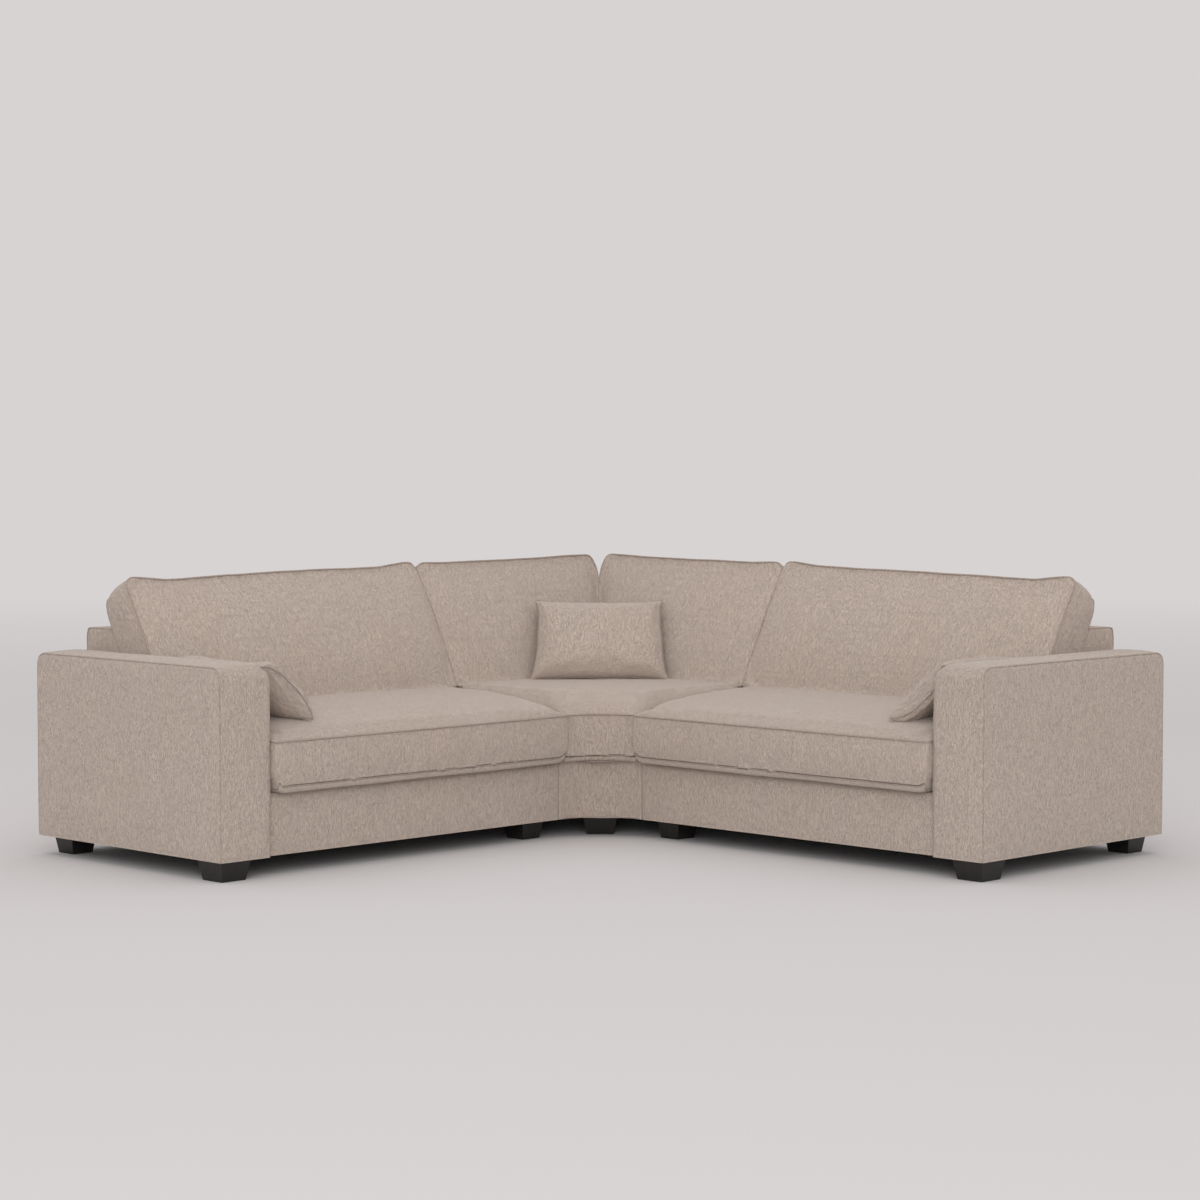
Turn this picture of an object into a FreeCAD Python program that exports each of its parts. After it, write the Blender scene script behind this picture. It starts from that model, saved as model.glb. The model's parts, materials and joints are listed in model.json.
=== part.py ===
import FreeCAD, Part
import math
import os
import Sketcher

# Corner sofa of three modules, in millimetres, +Z up, origin on the floor under the middle of the square
# that the sofa fills. The corner is at -X +Y. The side wing runs along Y, the rear wing along X.
# Places are given as u, w, z: for the side wing, u runs from the outer corner along the wing, w from the
# outer face of its back towards the seat, and z up. The rear wing is the side wing mirrored.

Vector = FreeCAD.Vector
Rotation = FreeCAD.Rotation
doc = FreeCAD.newDocument("CornerSofa")
sheet = doc.addObject("Spreadsheet::Sheet", "Dims")


# Sizes: every length knows its number and the formula in the sheet that gives it


class Size:
    def __init__(self, formula, number):
        self.formula = formula
        self.number = number

    def __add__(self, other):
        other = as_size(other)
        return Size("(%s + %s)" % (self.formula, other.formula), self.number + other.number)

    def __sub__(self, other):
        other = as_size(other)
        return Size("(%s - %s)" % (self.formula, other.formula), self.number - other.number)

    def __mul__(self, other):
        other = as_size(other)
        return Size("(%s * %s)" % (self.formula, other.formula), self.number * other.number)

    def __truediv__(self, other):
        other = as_size(other)
        return Size("(%s / %s)" % (self.formula, other.formula), self.number / other.number)

    def __neg__(self):
        return Size("(0 - %s)" % self.formula, -self.number)

    def root(self):
        return Size("sqrt(%s)" % self.formula, math.sqrt(self.number))


def as_size(value):
    if isinstance(value, Size):
        return value
    return Size("%.10g" % value, float(value))


sheet_rows = []


def write_cell(name, content, number):
    row = len(sheet_rows) + 1
    sheet_rows.append(name)
    sheet.set("A%d" % row, name.replace("_", " "))
    sheet.set("B%d" % row, content)
    sheet.setAlias("B%d" % row, name)
    return Size("Dims." + name, number)


def derived(name, size):
    return write_cell(name, "=" + size.formula.replace("Dims.", ""), size.number)


# Sizes in millimetres, and angles in degrees: each is set here by itself

# Overall form
overall = 2520
depth = 930

# Arms
arm_width = 195
arm_height = 640
arm_inner_round = 55
arm_end_round = 26
arm_padding = 20

# Backs
back_height = 712
back_top_depth = 135
back_seat_depth = 270
back_padding = 12
back_edge_round = 25
back_lean = 0.53

# Base
foot_height = 60
deck_height = 250
base_setback = 25
cove_radius = 190
skirt_padding = 12
cloth = 3
strap_thickness = 3
strap_width = 70
dust_cloth = 1.5

# Timber
rail_thickness = 30
rib_thickness = 18
back_rail_width = 40
back_rail_height = 45
tuck_rail_rise = 52
bent_rail_thickness = 18
foot_block = 110
post_thickness = 30

# Seat cushions
soft_gap = 0.3
seat_border = 155
seat_crown = 67
seat_overhang = 43
seat_end_draw = 10
seat_end_drop = 16
corner_crown_back = 75
corner_crown_end = 110
corner_crown_front = 165

# Back cushions
back_cushion_thickness = 142
back_cushion_top = 814
back_cushion_swell = 36
corner_cushion_swell = 24
cushion_end_swell = 10
cushion_end_draw = 14
cushion_dip = 14
cushion_nose = 85
mitre_gap = 0.5

# Pillows
pillow_length = 470
pillow_height = 325
pillow_thickness = 120
pillow_upright = 4
arm_pillow_length = 430
arm_pillow_height = 262
arm_pillow_thickness = 105
arm_pillow_lean = 52
arm_pillow_gap = 15
pillow_edge = 10
pillow_draw = 10

# Feet, bolts and joint plates
front_foot_top = 112
front_foot_bottom = 90
rear_foot_top = 95
rear_foot_bottom = 75
front_foot_inset = 60
arm_rear_foot_inset = 100
inner_foot_inset = 85
cove_foot_inset = 76
stud_radius = 5
stud_in_foot = 36
stud_in_frame = 28
bolt_radius = 4
bolt_head_radius = 10
bolt_head_height = 4
bolt_spare = 4
nut_radius = 7.5
nut_height = 6.5
bolt_clearance = 0.4
bolt_height = 160
plate_thickness = 3
plate_width = 50
flange_length = 32
plate_setback = 6
tongue_width = 36
hook_reach = 34
rear_plate_depth = 310
front_plate_depth = 705

# Each size goes into the sheet, and from here on its name stands for its cell
for name, number in list(globals().items()):
    if isinstance(number, (int, float)):
        globals()[name] = write_cell(name, "%.10g" % number, float(number))

# Sizes that follow from them
half = derived("half", overall / 2)
arm_start = derived("arm_start", overall - arm_width)
lean_factor = derived("lean_factor", (back_lean * back_lean + 1).root())
back_break = derived("back_break", back_height - (back_seat_depth - back_top_depth) / back_lean)
base_front = derived("base_front", depth - base_setback)
frame_bottom = derived("frame_bottom", foot_height + dust_cloth)
platform_bottom = derived("platform_bottom", deck_height - cloth)
frame_top = derived("frame_top", platform_bottom - strap_thickness)
corner_side = derived("corner_side", base_front + cove_radius)
seat_bottom = derived("seat_bottom", deck_height + soft_gap)
seat_seam = derived("seat_seam", seat_bottom + seat_border)
seat_top = derived("seat_top", seat_seam + seat_crown)
seat_front = derived("seat_front", base_front + seat_overhang)
seat_rear = derived("seat_rear", back_seat_depth + soft_gap)
back_cushion_bottom = derived("back_cushion_bottom", seat_top + soft_gap)

# Counts
STRAPS_PER_BAY = 4
CORNER_STRAPS = 6
ARM_BOLTS = 2
NUT_SIDES = 6

# Steps from seam to seam of each soft form
CUSHION_STEPS = 8
PILLOW_STEPS = 10
NOSE_STEPS = 4
CROWN_STEPS = 4

# Share of a length on the diagonal that it covers along each wing, and lengths that count as none
DIAGONAL = math.sqrt(0.5)
TOUCH = 0.01
NO_LENGTH = Size("0", 0.0)
ALONG_U = Rotation(Vector(0, 0, 1), -90)
TOWARDS_ARM = Rotation(Vector(1, 0, 0), 90)
UPRIGHT = Rotation()
nodes = {}
cuts = []


# Placing and binding


def bind(thing, path, size):
    thing.setExpression(path, as_size(size).formula)


def place(thing, u, w, z, rotation=ALONG_U):
    thing.Placement = FreeCAD.Placement(Vector(0, 0, 0), rotation)
    bind(thing, "Placement.Base.x", as_size(w) - half)
    bind(thing, "Placement.Base.y", half - u)
    bind(thing, "Placement.Base.z", z)


def keep(name, thing):
    thing.Label = name
    nodes[name] = thing


def mirror_image(name, source):
    """Twin of a piece beyond the vertical plane through the corner's diagonal."""
    twin = doc.addObject("Part::Mirroring", name)
    twin.Source = source
    twin.Normal = Vector(1, 1, 0)
    return twin


def both_wings(name, thing):
    keep("side_" + name, thing)
    keep("rear_" + name, mirror_image(name + "_twin", thing))


def group(name, things):
    compound = doc.addObject("Part::Compound", name)
    compound.Links = things
    return compound


def cut(name, base, tools):
    result = doc.addObject("Part::Cut", name)
    result.Base = base
    result.Tool = tools
    cuts.append((name, base, result))
    return result


# Sketches: a corner is where an edge starts, with the radius of that edge where it is an arc


class Corner:
    def __init__(self, across, up, radius=None, hollow=False):
        self.across = as_size(across)
        self.up = as_size(up)
        self.radius = radius
        self.hollow = hollow

    def point(self):
        return Vector(self.across.number, self.up.number, 0)


def swell_radius(start, end, rise):
    run = end[0] - start[0]
    climb = end[1] - start[1]
    return (run * run + climb * climb) / (rise * 8) + rise / 2


def swelling(start, end, rise):
    return Corner(start[0], start[1], swell_radius(start, end, rise))


def arc_middle(start, end, radius, hollow):
    chord = end - start
    half_chord = chord.Length / 2
    rise = radius - math.sqrt(radius * radius - half_chord * half_chord)
    outward = Vector(chord.y, -chord.x, 0).normalize()
    if hollow:
        outward = -outward
    return (start + end) / 2 + outward * rise


def draw_loop(sketch, corners):
    first = sketch.GeometryCount
    for index, corner in enumerate(corners):
        start = corner.point()
        end = corners[(index + 1) % len(corners)].point()
        if corner.radius is None:
            sketch.addGeometry(Part.LineSegment(start, end), False)
        else:
            middle = arc_middle(start, end, corner.radius.number, corner.hollow)
            sketch.addGeometry(Part.Arc(start, middle, end), False)
    tails = []
    for index, corner in enumerate(corners):
        edge = first + index
        starts_first = (sketch.getPoint(edge, 1) - corner.point()).Length < TOUCH
        head, tail = (1, 2) if starts_first else (2, 1)
        tails.append((edge, tail))
        pin_coordinate(sketch, "DistanceX", edge, head, corner.across)
        pin_coordinate(sketch, "DistanceY", edge, head, corner.up)
        if corner.radius is not None:
            number = sketch.addConstraint(Sketcher.Constraint("Radius", edge, corner.radius.number))
            bind(sketch, "Constraints[%d]" % number, corner.radius)
    for index, (edge, tail) in enumerate(tails):
        following = first + (index + 1) % len(corners)
        head = 3 - tails[(index + 1) % len(corners)][1]
        sketch.addConstraint(Sketcher.Constraint("Coincident", edge, tail, following, head))


def pin_coordinate(sketch, kind, edge, point, size):
    number = sketch.addConstraint(Sketcher.Constraint(kind, -1, 1, edge, point, size.number))
    bind(sketch, "Constraints[%d]" % number, size)


def draw_circle(sketch, across, up, radius):
    across, up, radius = as_size(across), as_size(up), as_size(radius)
    centre = Vector(across.number, up.number, 0)
    edge = sketch.addGeometry(Part.Circle(centre, Vector(0, 0, 1), radius.number), False)
    pin_coordinate(sketch, "DistanceX", edge, 3, across)
    pin_coordinate(sketch, "DistanceY", edge, 3, up)
    number = sketch.addConstraint(Sketcher.Constraint("Radius", edge, radius.number))
    bind(sketch, "Constraints[%d]" % number, radius)


# Bodies. PLAN sketches hold u and w, FRONT sketches u and z, SECTION sketches w and z.

PLAN = "XY_Plane"
FRONT = "XZ_Plane"
SECTION = "YZ_Plane"


def new_body(name):
    body = doc.addObject("PartDesign::Body", name + "_body")
    place(body, 0, 0, 0)
    return body


def sketch_on(body, role, offset=0):
    sketch = body.newObject("Sketcher::SketchObject", body.Name + "_sketch")
    plane = [feature for feature in body.Origin.OriginFeatures if feature.Role == role][0]
    sketch.AttachmentSupport = [(plane, "")]
    sketch.MapMode = "FlatFace"
    offset = as_size(offset)
    if role == FRONT:
        offset = -offset
    sketch.AttachmentOffset = FreeCAD.Placement(Vector(0, 0, offset.number), Rotation())
    bind(sketch, "AttachmentOffset.Base.z", offset)
    return sketch


def outline(body, role, offset, corners):
    sketch = sketch_on(body, role, offset)
    draw_loop(sketch, corners)
    return sketch


def pad(body, sketch, length, reverse=False):
    feature = body.newObject("PartDesign::Pad", body.Name + "_pad")
    feature.Profile = sketch
    feature.Reversed = reverse
    bind(feature, "Length", length)
    return feature


def pocket(body, sketch, length, reverse=True):
    base = body.Tip
    feature = body.newObject("PartDesign::Pocket", body.Name + "_pocket")
    feature.Profile = sketch
    feature.Reversed = reverse
    bind(feature, "Length", length)
    cuts.append((feature.Name, base, feature))
    return feature


def loft(body, sketches):
    feature = body.newObject("PartDesign::AdditiveLoft", body.Name + "_loft")
    feature.Profile = sketches[0]
    feature.Sections = sketches[1:]
    feature.Ruled = True
    return feature


def rectangle(left, right, low, high):
    return [Corner(left, low), Corner(right, low), Corner(right, high), Corner(left, high)]


def timber(name, u, w, z):
    box = doc.addObject("Part::Box", name)
    place(box, u[0], w[0], z[0])
    bind(box, "Length", as_size(u[1]) - u[0])
    bind(box, "Width", as_size(w[1]) - w[0])
    bind(box, "Height", as_size(z[1]) - z[0])
    return box


def turned(name, corners, u, w, z, rotation):
    body = doc.addObject("PartDesign::Body", name + "_body")
    place(body, u, w, z, rotation)
    sketch = outline(body, FRONT, 0, corners)
    feature = body.newObject("PartDesign::Revolution", body.Name + "_turn")
    feature.Profile = sketch
    feature.ReferenceAxis = (sketch, ["V_Axis"])
    feature.Angle = 360
    return body


def rod(name, radius, length, u, w, z, rotation=UPRIGHT):
    cylinder = doc.addObject("Part::Cylinder", name)
    place(cylinder, u, w, z, rotation)
    bind(cylinder, "Radius", radius)
    bind(cylinder, "Height", length)
    return cylinder


# Feet: tapered blocks, each on a stud that goes up into a rail, a board or a block of the frame


def foot(name, u, w, bottom, top, turn):
    body = doc.addObject("PartDesign::Body", name + "_body")
    place(body, u, w, 0, Rotation(Vector(0, 0, 1), turn))
    low = outline(body, PLAN, 0, rectangle(-bottom / 2, bottom / 2, -bottom / 2, bottom / 2))
    high = outline(body, PLAN, foot_height, rectangle(-top / 2, top / 2, -top / 2, top / 2))
    loft(body, [low, high])
    bore = sketch_on(body, PLAN, foot_height)
    draw_circle(bore, 0, 0, stud_radius + bolt_clearance)
    pocket(body, bore, stud_in_foot, False)
    return body


class FootPlace:
    def __init__(self, name, u, w, large=False, turn=0):
        self.name = name
        self.u = u
        self.w = w
        self.large = large
        self.turn = turn


wing_feet = [
    FootPlace("arm_front", overall - front_foot_inset, depth - front_foot_inset, True),
    FootPlace("arm_rear", overall - arm_rear_foot_inset, front_foot_inset),
    FootPlace("inner_front", corner_side + inner_foot_inset, base_front - inner_foot_inset),
    FootPlace("inner_rear", corner_side + inner_foot_inset, inner_foot_inset),
]
cove_foot_place = corner_side - (cove_radius + cove_foot_inset) * DIAGONAL
corner_feet = [
    FootPlace("cove", cove_foot_place, cove_foot_place, True, 45),
    FootPlace("back", inner_foot_inset, inner_foot_inset, False, 45),
    FootPlace("side_wall", corner_side - inner_foot_inset, inner_foot_inset),
    FootPlace("rear_wall", inner_foot_inset, corner_side - inner_foot_inset),
]


def make_feet(places):
    feet = []
    for spot in places:
        bottom = front_foot_bottom if spot.large else rear_foot_bottom
        top = front_foot_top if spot.large else rear_foot_top
        feet.append(foot("foot_" + spot.name, spot.u, spot.w, bottom, top, spot.turn))
    return group("feet_" + places[0].name, feet)


def make_studs(places):
    length = stud_in_foot + dust_cloth + stud_in_frame
    studs = [rod("stud", stud_radius, length, spot.u, spot.w, foot_height - stud_in_foot) for spot in places]
    return group("studs_" + places[0].name, studs)


def stud_holes(places):
    """Round holes in timber over the feet."""
    radius = stud_radius + bolt_clearance
    return [rod("stud_hole", radius, stud_in_frame, spot.u, spot.w, frame_bottom) for spot in places]


def stud_slits(places):
    """Square slits in the dust cover for the studs."""
    reach = stud_radius + bolt_clearance
    level = (foot_height, frame_bottom)
    slits = []
    for spot in places:
        slits.append(timber("slit", (spot.u - reach, spot.u + reach), (spot.w - reach, spot.w + reach), level))
    return slits


# Wing: seat frame between two linings, from the corner module to the arm

bay_start = corner_side + cloth
bay_end = arm_start - cloth
front_rail_front = base_front - skirt_padding
front_rail_back = front_rail_front - rail_thickness
sill_front = back_padding + rail_thickness
middle_rail = (bay_start + bay_end) / 2 - rail_thickness / 2
frame_heights = (frame_bottom, frame_top)


def bolt_places():
    span = front_rail_back - sill_front
    return [sill_front + span * ((index + 0.5) / ARM_BOLTS) for index in range(ARM_BOLTS)]


def bolt_holes():
    """Round clearance holes from the last cross rail into the inner panel of the arm."""
    start = bay_end - rail_thickness
    length = rail_thickness + cloth + arm_padding + rib_thickness
    radius = bolt_radius + bolt_clearance
    return [rod("bolt_hole", radius, length, start, w, bolt_height, TOWARDS_ARM) for w in bolt_places()]


def bolt_slits():
    """Square slits for the arm bolts in the lining and the arm cover."""
    reach = bolt_radius + bolt_clearance
    span = (bay_end, arm_start + arm_padding)
    rows = (bolt_height - reach, bolt_height + reach)
    return [timber("bolt_slit", span, (w - reach, w + reach), rows) for w in bolt_places()]


def make_wing_frame():
    long_span = (bay_start, bay_end)
    front = timber("front_rail_box", long_span, (front_rail_back, front_rail_front), frame_heights)
    both_wings("front_rail", front)
    sill = timber("back_sill_box", long_span, (back_padding, sill_front), frame_heights)
    both_wings("back_sill", sill)
    rails = []
    for start in (bay_start, middle_rail, bay_end - rail_thickness):
        span = (start, start + rail_thickness)
        rails.append(timber("cross_rail_box", span, (sill_front, front_rail_back), frame_heights))
    drilled = cut("cross_rails_cut", rails[2], group("cross_rail_holes", bolt_holes()))
    both_wings("cross_rails", group("cross_rails", [rails[0], rails[1], drilled]))


def make_foot_blocks(name, spots, places):
    """Blocks glued into the frame over the feet that no rail carries."""
    blocks = [timber(name + "_block", u, w, (frame_bottom, frame_bottom + rail_thickness)) for u, w in spots]
    return cut(name, group(name + "_solid", blocks), group(name + "_holes", stud_holes(places)))


def make_wing_foot_blocks():
    u_span = (bay_start + rail_thickness, corner_side + inner_foot_inset + foot_block / 2)
    front = (base_front - inner_foot_inset - foot_block / 2, front_rail_back)
    rear = (sill_front, inner_foot_inset + foot_block / 2)
    blocks = make_foot_blocks("foot_blocks", [(u_span, front), (u_span, rear)], wing_feet[2:])
    both_wings("foot_blocks", blocks)


def make_wing_webbing():
    straps = []
    for start, end in ((bay_start, middle_rail), (middle_rail, bay_end - rail_thickness)):
        clear_start = start + rail_thickness
        pitch = (end - clear_start) / STRAPS_PER_BAY
        for index in range(STRAPS_PER_BAY):
            left = clear_start + pitch * (index + 0.5) - strap_width / 2
            span = (left, left + strap_width)
            rows = (back_padding, front_rail_front)
            straps.append(timber("strap", span, rows, (frame_top, platform_bottom)))
    both_wings("seat_webbing", group("seat_webbing", straps))


def make_wing_base_cover():
    """Platform and skirt sewn in one, with a lining over each end of the frame."""
    body = new_body("base_cover")
    skirt_back = front_rail_front
    corners = [
        Corner(back_seat_depth, platform_bottom),
        Corner(skirt_back, platform_bottom),
        Corner(skirt_back, foot_height),
        Corner(base_front, foot_height),
        Corner(base_front, deck_height - skirt_padding, skirt_padding),
        Corner(skirt_back, deck_height),
        Corner(back_seat_depth, deck_height),
    ]
    pad(body, outline(body, SECTION, corner_side, corners), arm_start - corner_side)
    lining = rectangle(back_padding, skirt_back, foot_height, platform_bottom)
    for start in (corner_side, arm_start - cloth):
        pad(body, outline(body, SECTION, start, lining), cloth)
    both_wings("base_cover", cut("base_cover", body, group("cover_slits", bolt_slits())))


def make_wing_dust_cover():
    level = (foot_height, frame_bottom)
    base = timber("dust_base", (bay_start, bay_end), (back_padding, front_rail_front), level)
    sides = (arm_start + arm_padding, overall - arm_padding)
    arm = timber("dust_arm", sides, (arm_padding, depth - arm_padding), level)
    solid = group("dust_solid", [base, arm])
    both_wings("dust_cover", cut("dust_cover", solid, group("dust_slits", stud_slits(wing_feet))))


# Backs: a padded shell round notched plywood ribs and two rails


def rear_plane(height):
    """Depth of the leaning inner face at a height, carried on above the back's top."""
    return back_seat_depth - (height - back_break) * back_lean


def back_outline():
    edge = back_edge_round
    inner_top = back_top_depth - edge
    fall = edge / lean_factor
    return [
        Corner(0, foot_height),
        Corner(back_padding, foot_height),
        Corner(back_padding, platform_bottom),
        Corner(back_seat_depth, platform_bottom),
        Corner(back_seat_depth, back_break),
        Corner(rear_plane(back_height - fall), back_height - fall, edge / (lean_factor - back_lean)),
        Corner(inner_top, back_height),
        Corner(edge, back_height, edge),
        Corner(0, back_height - edge),
    ]


inner_shift = back_padding * lean_factor
cavity_top = back_height - back_padding


def cavity_outline(bottom):
    inner = back_seat_depth - back_padding
    break_height = back_break - (inner_shift - back_padding) / back_lean
    return [
        Corner(back_padding, bottom),
        Corner(inner, bottom),
        Corner(inner, break_height),
        Corner(rear_plane(cavity_top) - inner_shift, cavity_top),
        Corner(back_padding, cavity_top),
    ]


def back_rail_spans():
    """Top rail and tuck rail, as spans of w and z."""
    top = ((back_padding, back_padding + back_rail_width), (cavity_top - back_rail_height, cavity_top))
    inner = back_seat_depth - back_padding
    low = platform_bottom + tuck_rail_rise
    tuck = ((inner - back_rail_width, inner), (low, low + back_rail_height))
    return top, tuck


def rib(name, start):
    """Plywood profile with two notches for the rails."""
    body = new_body(name)
    pad(body, outline(body, SECTION, start, cavity_outline(frame_top)), rib_thickness)
    for w_span, z_span in back_rail_spans():
        notch = rectangle(w_span[0], w_span[1], z_span[0], z_span[1])
        pocket(body, outline(body, SECTION, start, notch), rib_thickness)
    return body


def make_wing_back():
    body = new_body("back_cover")
    length = arm_start - corner_side
    pad(body, outline(body, SECTION, corner_side, back_outline()), length)
    hollow_start = corner_side + back_padding
    hollow = outline(body, SECTION, hollow_start, cavity_outline(platform_bottom))
    pocket(body, hollow, length - back_padding * 2)
    both_wings("back_cover", body)
    hollow_end = arm_start - back_padding
    middle = (hollow_start + hollow_end) / 2 - rib_thickness / 2
    starts = (hollow_start, middle, hollow_end - rib_thickness)
    both_wings("back_ribs", group("back_ribs", [rib("rib", start) for start in starts]))
    rails = [timber("back_rail", (hollow_start, hollow_end), w, z) for w, z in back_rail_spans()]
    both_wings("back_rails", group("back_rails", rails))


# Arms


def edges_of_end(shape, w):
    """Names of the top, rounded and inner edges of the arm's end face, without the outer and bottom edge."""
    names = []
    for index, edge in enumerate(shape.Edges):
        box = edge.BoundBox
        at_end = abs(box.YMin - w) < TOUCH and abs(box.YMax - w) < TOUCH
        outer = abs(box.XMin - overall.number) < TOUCH
        low = abs(box.ZMax - foot_height.number) < TOUCH
        if at_end and not outer and not low:
            names.append("Edge%d" % (index + 1))
    return names


def make_arm_cover():
    body = new_body("arm_cover")
    corners = [
        Corner(arm_start, foot_height),
        Corner(overall, foot_height),
        Corner(overall, arm_height),
        Corner(arm_start + arm_inner_round, arm_height, arm_inner_round),
        Corner(arm_start, arm_height - arm_inner_round),
    ]
    block = pad(body, outline(body, FRONT, 0, corners), depth, True)
    doc.recompute()
    names = edges_of_end(block.Shape, 0.0) + edges_of_end(block.Shape, depth.number)
    fillet = body.newObject("PartDesign::Fillet", "arm_fillet")
    fillet.Base = (block, names)
    bind(fillet, "Radius", arm_end_round)
    hollow = rectangle(arm_start + arm_padding, overall - arm_padding, arm_padding, depth - arm_padding)
    pocket(body, outline(body, PLAN, foot_height, hollow), arm_height - arm_padding - foot_height)
    both_wings("arm_cover", cut("arm_cover", body, group("arm_slits", bolt_slits())))


def make_arm_frame():
    """Two posts and an inner panel on a bottom board, with a rail on top."""
    sides = (arm_start + arm_padding, overall - arm_padding)
    ends = (arm_padding, depth - arm_padding)
    between = (ends[0] + post_thickness, ends[1] - post_thickness)
    top = arm_height - arm_padding
    board_top = frame_bottom + post_thickness
    rail_bottom = top - post_thickness
    front_post = timber("front_post", sides, (between[1], ends[1]), (board_top, top))
    back_post = timber("back_post", sides, (ends[0], between[0]), (board_top, top))
    rail = timber("arm_top_rail", sides, between, (rail_bottom, top))
    board = timber("arm_board", sides, ends, (frame_bottom, board_top))
    panel = timber("arm_panel", (sides[0], sides[0] + rib_thickness), between, (board_top, rail_bottom))
    drilled_board = cut("arm_board_cut", board, group("board_holes", stud_holes(wing_feet[:2])))
    drilled_panel = cut("arm_panel_cut", panel, group("panel_holes", bolt_holes()))
    both_wings("arm_frame", group("arm_frame", [front_post, back_post, rail, drilled_board, drilled_panel]))


def make_nut(u, w, z):
    body = doc.addObject("PartDesign::Body", "arm_nut_body")
    place(body, u, w, z, TOWARDS_ARM)
    turns = [math.tau * side / NUT_SIDES for side in range(NUT_SIDES)]
    corners = [Corner(nut_radius * math.cos(turn), nut_radius * math.sin(turn)) for turn in turns]
    sketch = outline(body, PLAN, 0, corners)
    draw_circle(sketch, 0, 0, bolt_radius + bolt_clearance / 2)
    pad(body, sketch, nut_height)
    return body


def make_arm_bolts():
    """Bolts from inside the base, each with a nut behind the arm's inner panel."""
    start = bay_end - rail_thickness
    clamp = rail_thickness + cloth + arm_padding + rib_thickness
    tip = clamp + nut_height + bolt_spare
    parts = []
    for w in bolt_places():
        bolt = [
            Corner(0, -bolt_head_height),
            Corner(bolt_head_radius, -bolt_head_height),
            Corner(bolt_head_radius, 0),
            Corner(bolt_radius, 0),
            Corner(bolt_radius, tip),
            Corner(0, tip),
        ]
        parts.append(turned("arm_bolt", bolt, start, w, bolt_height, TOWARDS_ARM))
        parts.append(make_nut(start + clamp, w, bolt_height))
    both_wings("arm_bolts", group("arm_bolts", parts))


# Corner module

end_rail = (corner_side - cloth - rail_thickness, corner_side - cloth)
skirt_radius = cove_radius + skirt_padding
bent_radius = skirt_radius + bent_rail_thickness
rail_stop = corner_side - bent_radius
strap_pitch = (rail_stop - back_seat_depth) / CORNER_STRAPS
rib_row = back_seat_depth + strap_pitch * (CORNER_STRAPS - 2) - rib_thickness / 2


def cove_point(radius, inset):
    """Depth of a cove of this radius where it meets a line set back from the joint plane."""
    return corner_side - (radius * radius - as_size(inset) * inset).root()


def cove_band(inner, outer, inset):
    """Curved strip between two radii round the cove's centre, cut off at both joint planes."""
    line = corner_side - inset
    return [
        Corner(line, cove_point(outer, inset)),
        Corner(line, cove_point(inner, inset), inner, True),
        Corner(cove_point(inner, inset), line),
        Corner(cove_point(outer, inset), line, outer),
    ]


def make_corner_frame():
    body = new_body("cove_rail")
    band = cove_band(skirt_radius, bent_radius, cloth)
    pad(body, outline(body, PLAN, frame_bottom, band), frame_top - frame_bottom)
    keep("corner_cove_rail", body)
    side_sill = timber("side_sill", (sill_front, end_rail[1]), (back_padding, sill_front), frame_heights)
    rear_sill = timber("rear_sill", (back_padding, sill_front), (back_padding, end_rail[1]), frame_heights)
    keep("corner_back_sills", group("corner_back_sills", [side_sill, rear_sill]))
    side_end = timber("side_end_rail", end_rail, (sill_front, rail_stop), frame_heights)
    rear_end = timber("rear_end_rail", (sill_front, rail_stop), end_rail, frame_heights)
    brace = make_brace()
    drilled = cut("brace_cut", brace, group("brace_holes", stud_holes(corner_feet[:2])))
    keep("corner_cross_rails", group("corner_cross_rails", [side_end, rear_end, drilled]))


def make_brace():
    """Rail along the diagonal, from the corner of the two sills to the bent rail."""
    start = sill_front / DIAGONAL + rail_thickness / 2
    end = corner_side / DIAGONAL - bent_radius
    brace = doc.addObject("Part::Box", "brace")
    shift = rail_thickness / 2 * DIAGONAL
    near = start * DIAGONAL
    place(brace, near + shift, near - shift, frame_bottom, Rotation(Vector(0, 0, 1), -45))
    bind(brace, "Length", end - start)
    bind(brace, "Width", rail_thickness)
    bind(brace, "Height", frame_top - frame_bottom)
    return brace


def make_corner_foot_blocks():
    near = (sill_front, inner_foot_inset + foot_block / 2)
    far = (corner_side - inner_foot_inset - foot_block / 2, end_rail[0])
    blocks = make_foot_blocks("corner_blocks", [(far, near), (near, far)], corner_feet[2:])
    keep("corner_foot_blocks", blocks)


def make_corner_webbing():
    straps = []
    for index in range(CORNER_STRAPS):
        middle = back_seat_depth + strap_pitch * (index + 0.5)
        rows = (middle - strap_width / 2, middle + strap_width / 2)
        straps.append(timber("corner_strap", (back_padding, end_rail[1]), rows, (frame_top, platform_bottom)))
    keep("corner_webbing", group("corner_webbing", straps))


def cove_loop(low, line, radius, inset):
    """Square plan from low to line with its outer corner coved."""
    depth_there = cove_point(radius, inset)
    return [
        Corner(low, low),
        Corner(line, low),
        Corner(line, depth_there, radius, True),
        Corner(depth_there, line),
        Corner(low, line),
    ]


def make_corner_base_cover():
    body = new_body("corner_base_cover")
    platform = cove_loop(back_seat_depth, corner_side, cove_radius, 0)
    pad(body, outline(body, PLAN, platform_bottom, platform), cloth)
    inner_line = corner_side - cloth
    skirt = [
        Corner(corner_side, back_padding),
        Corner(corner_side, base_front, cove_radius, True),
        Corner(base_front, corner_side),
        Corner(back_padding, corner_side),
        Corner(back_padding, inner_line),
        Corner(cove_point(skirt_radius, cloth), inner_line, skirt_radius),
        Corner(inner_line, cove_point(skirt_radius, cloth)),
        Corner(inner_line, back_padding),
    ]
    pad(body, outline(body, PLAN, foot_height, skirt), platform_bottom - foot_height)
    keep("corner_base_cover", body)


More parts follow.
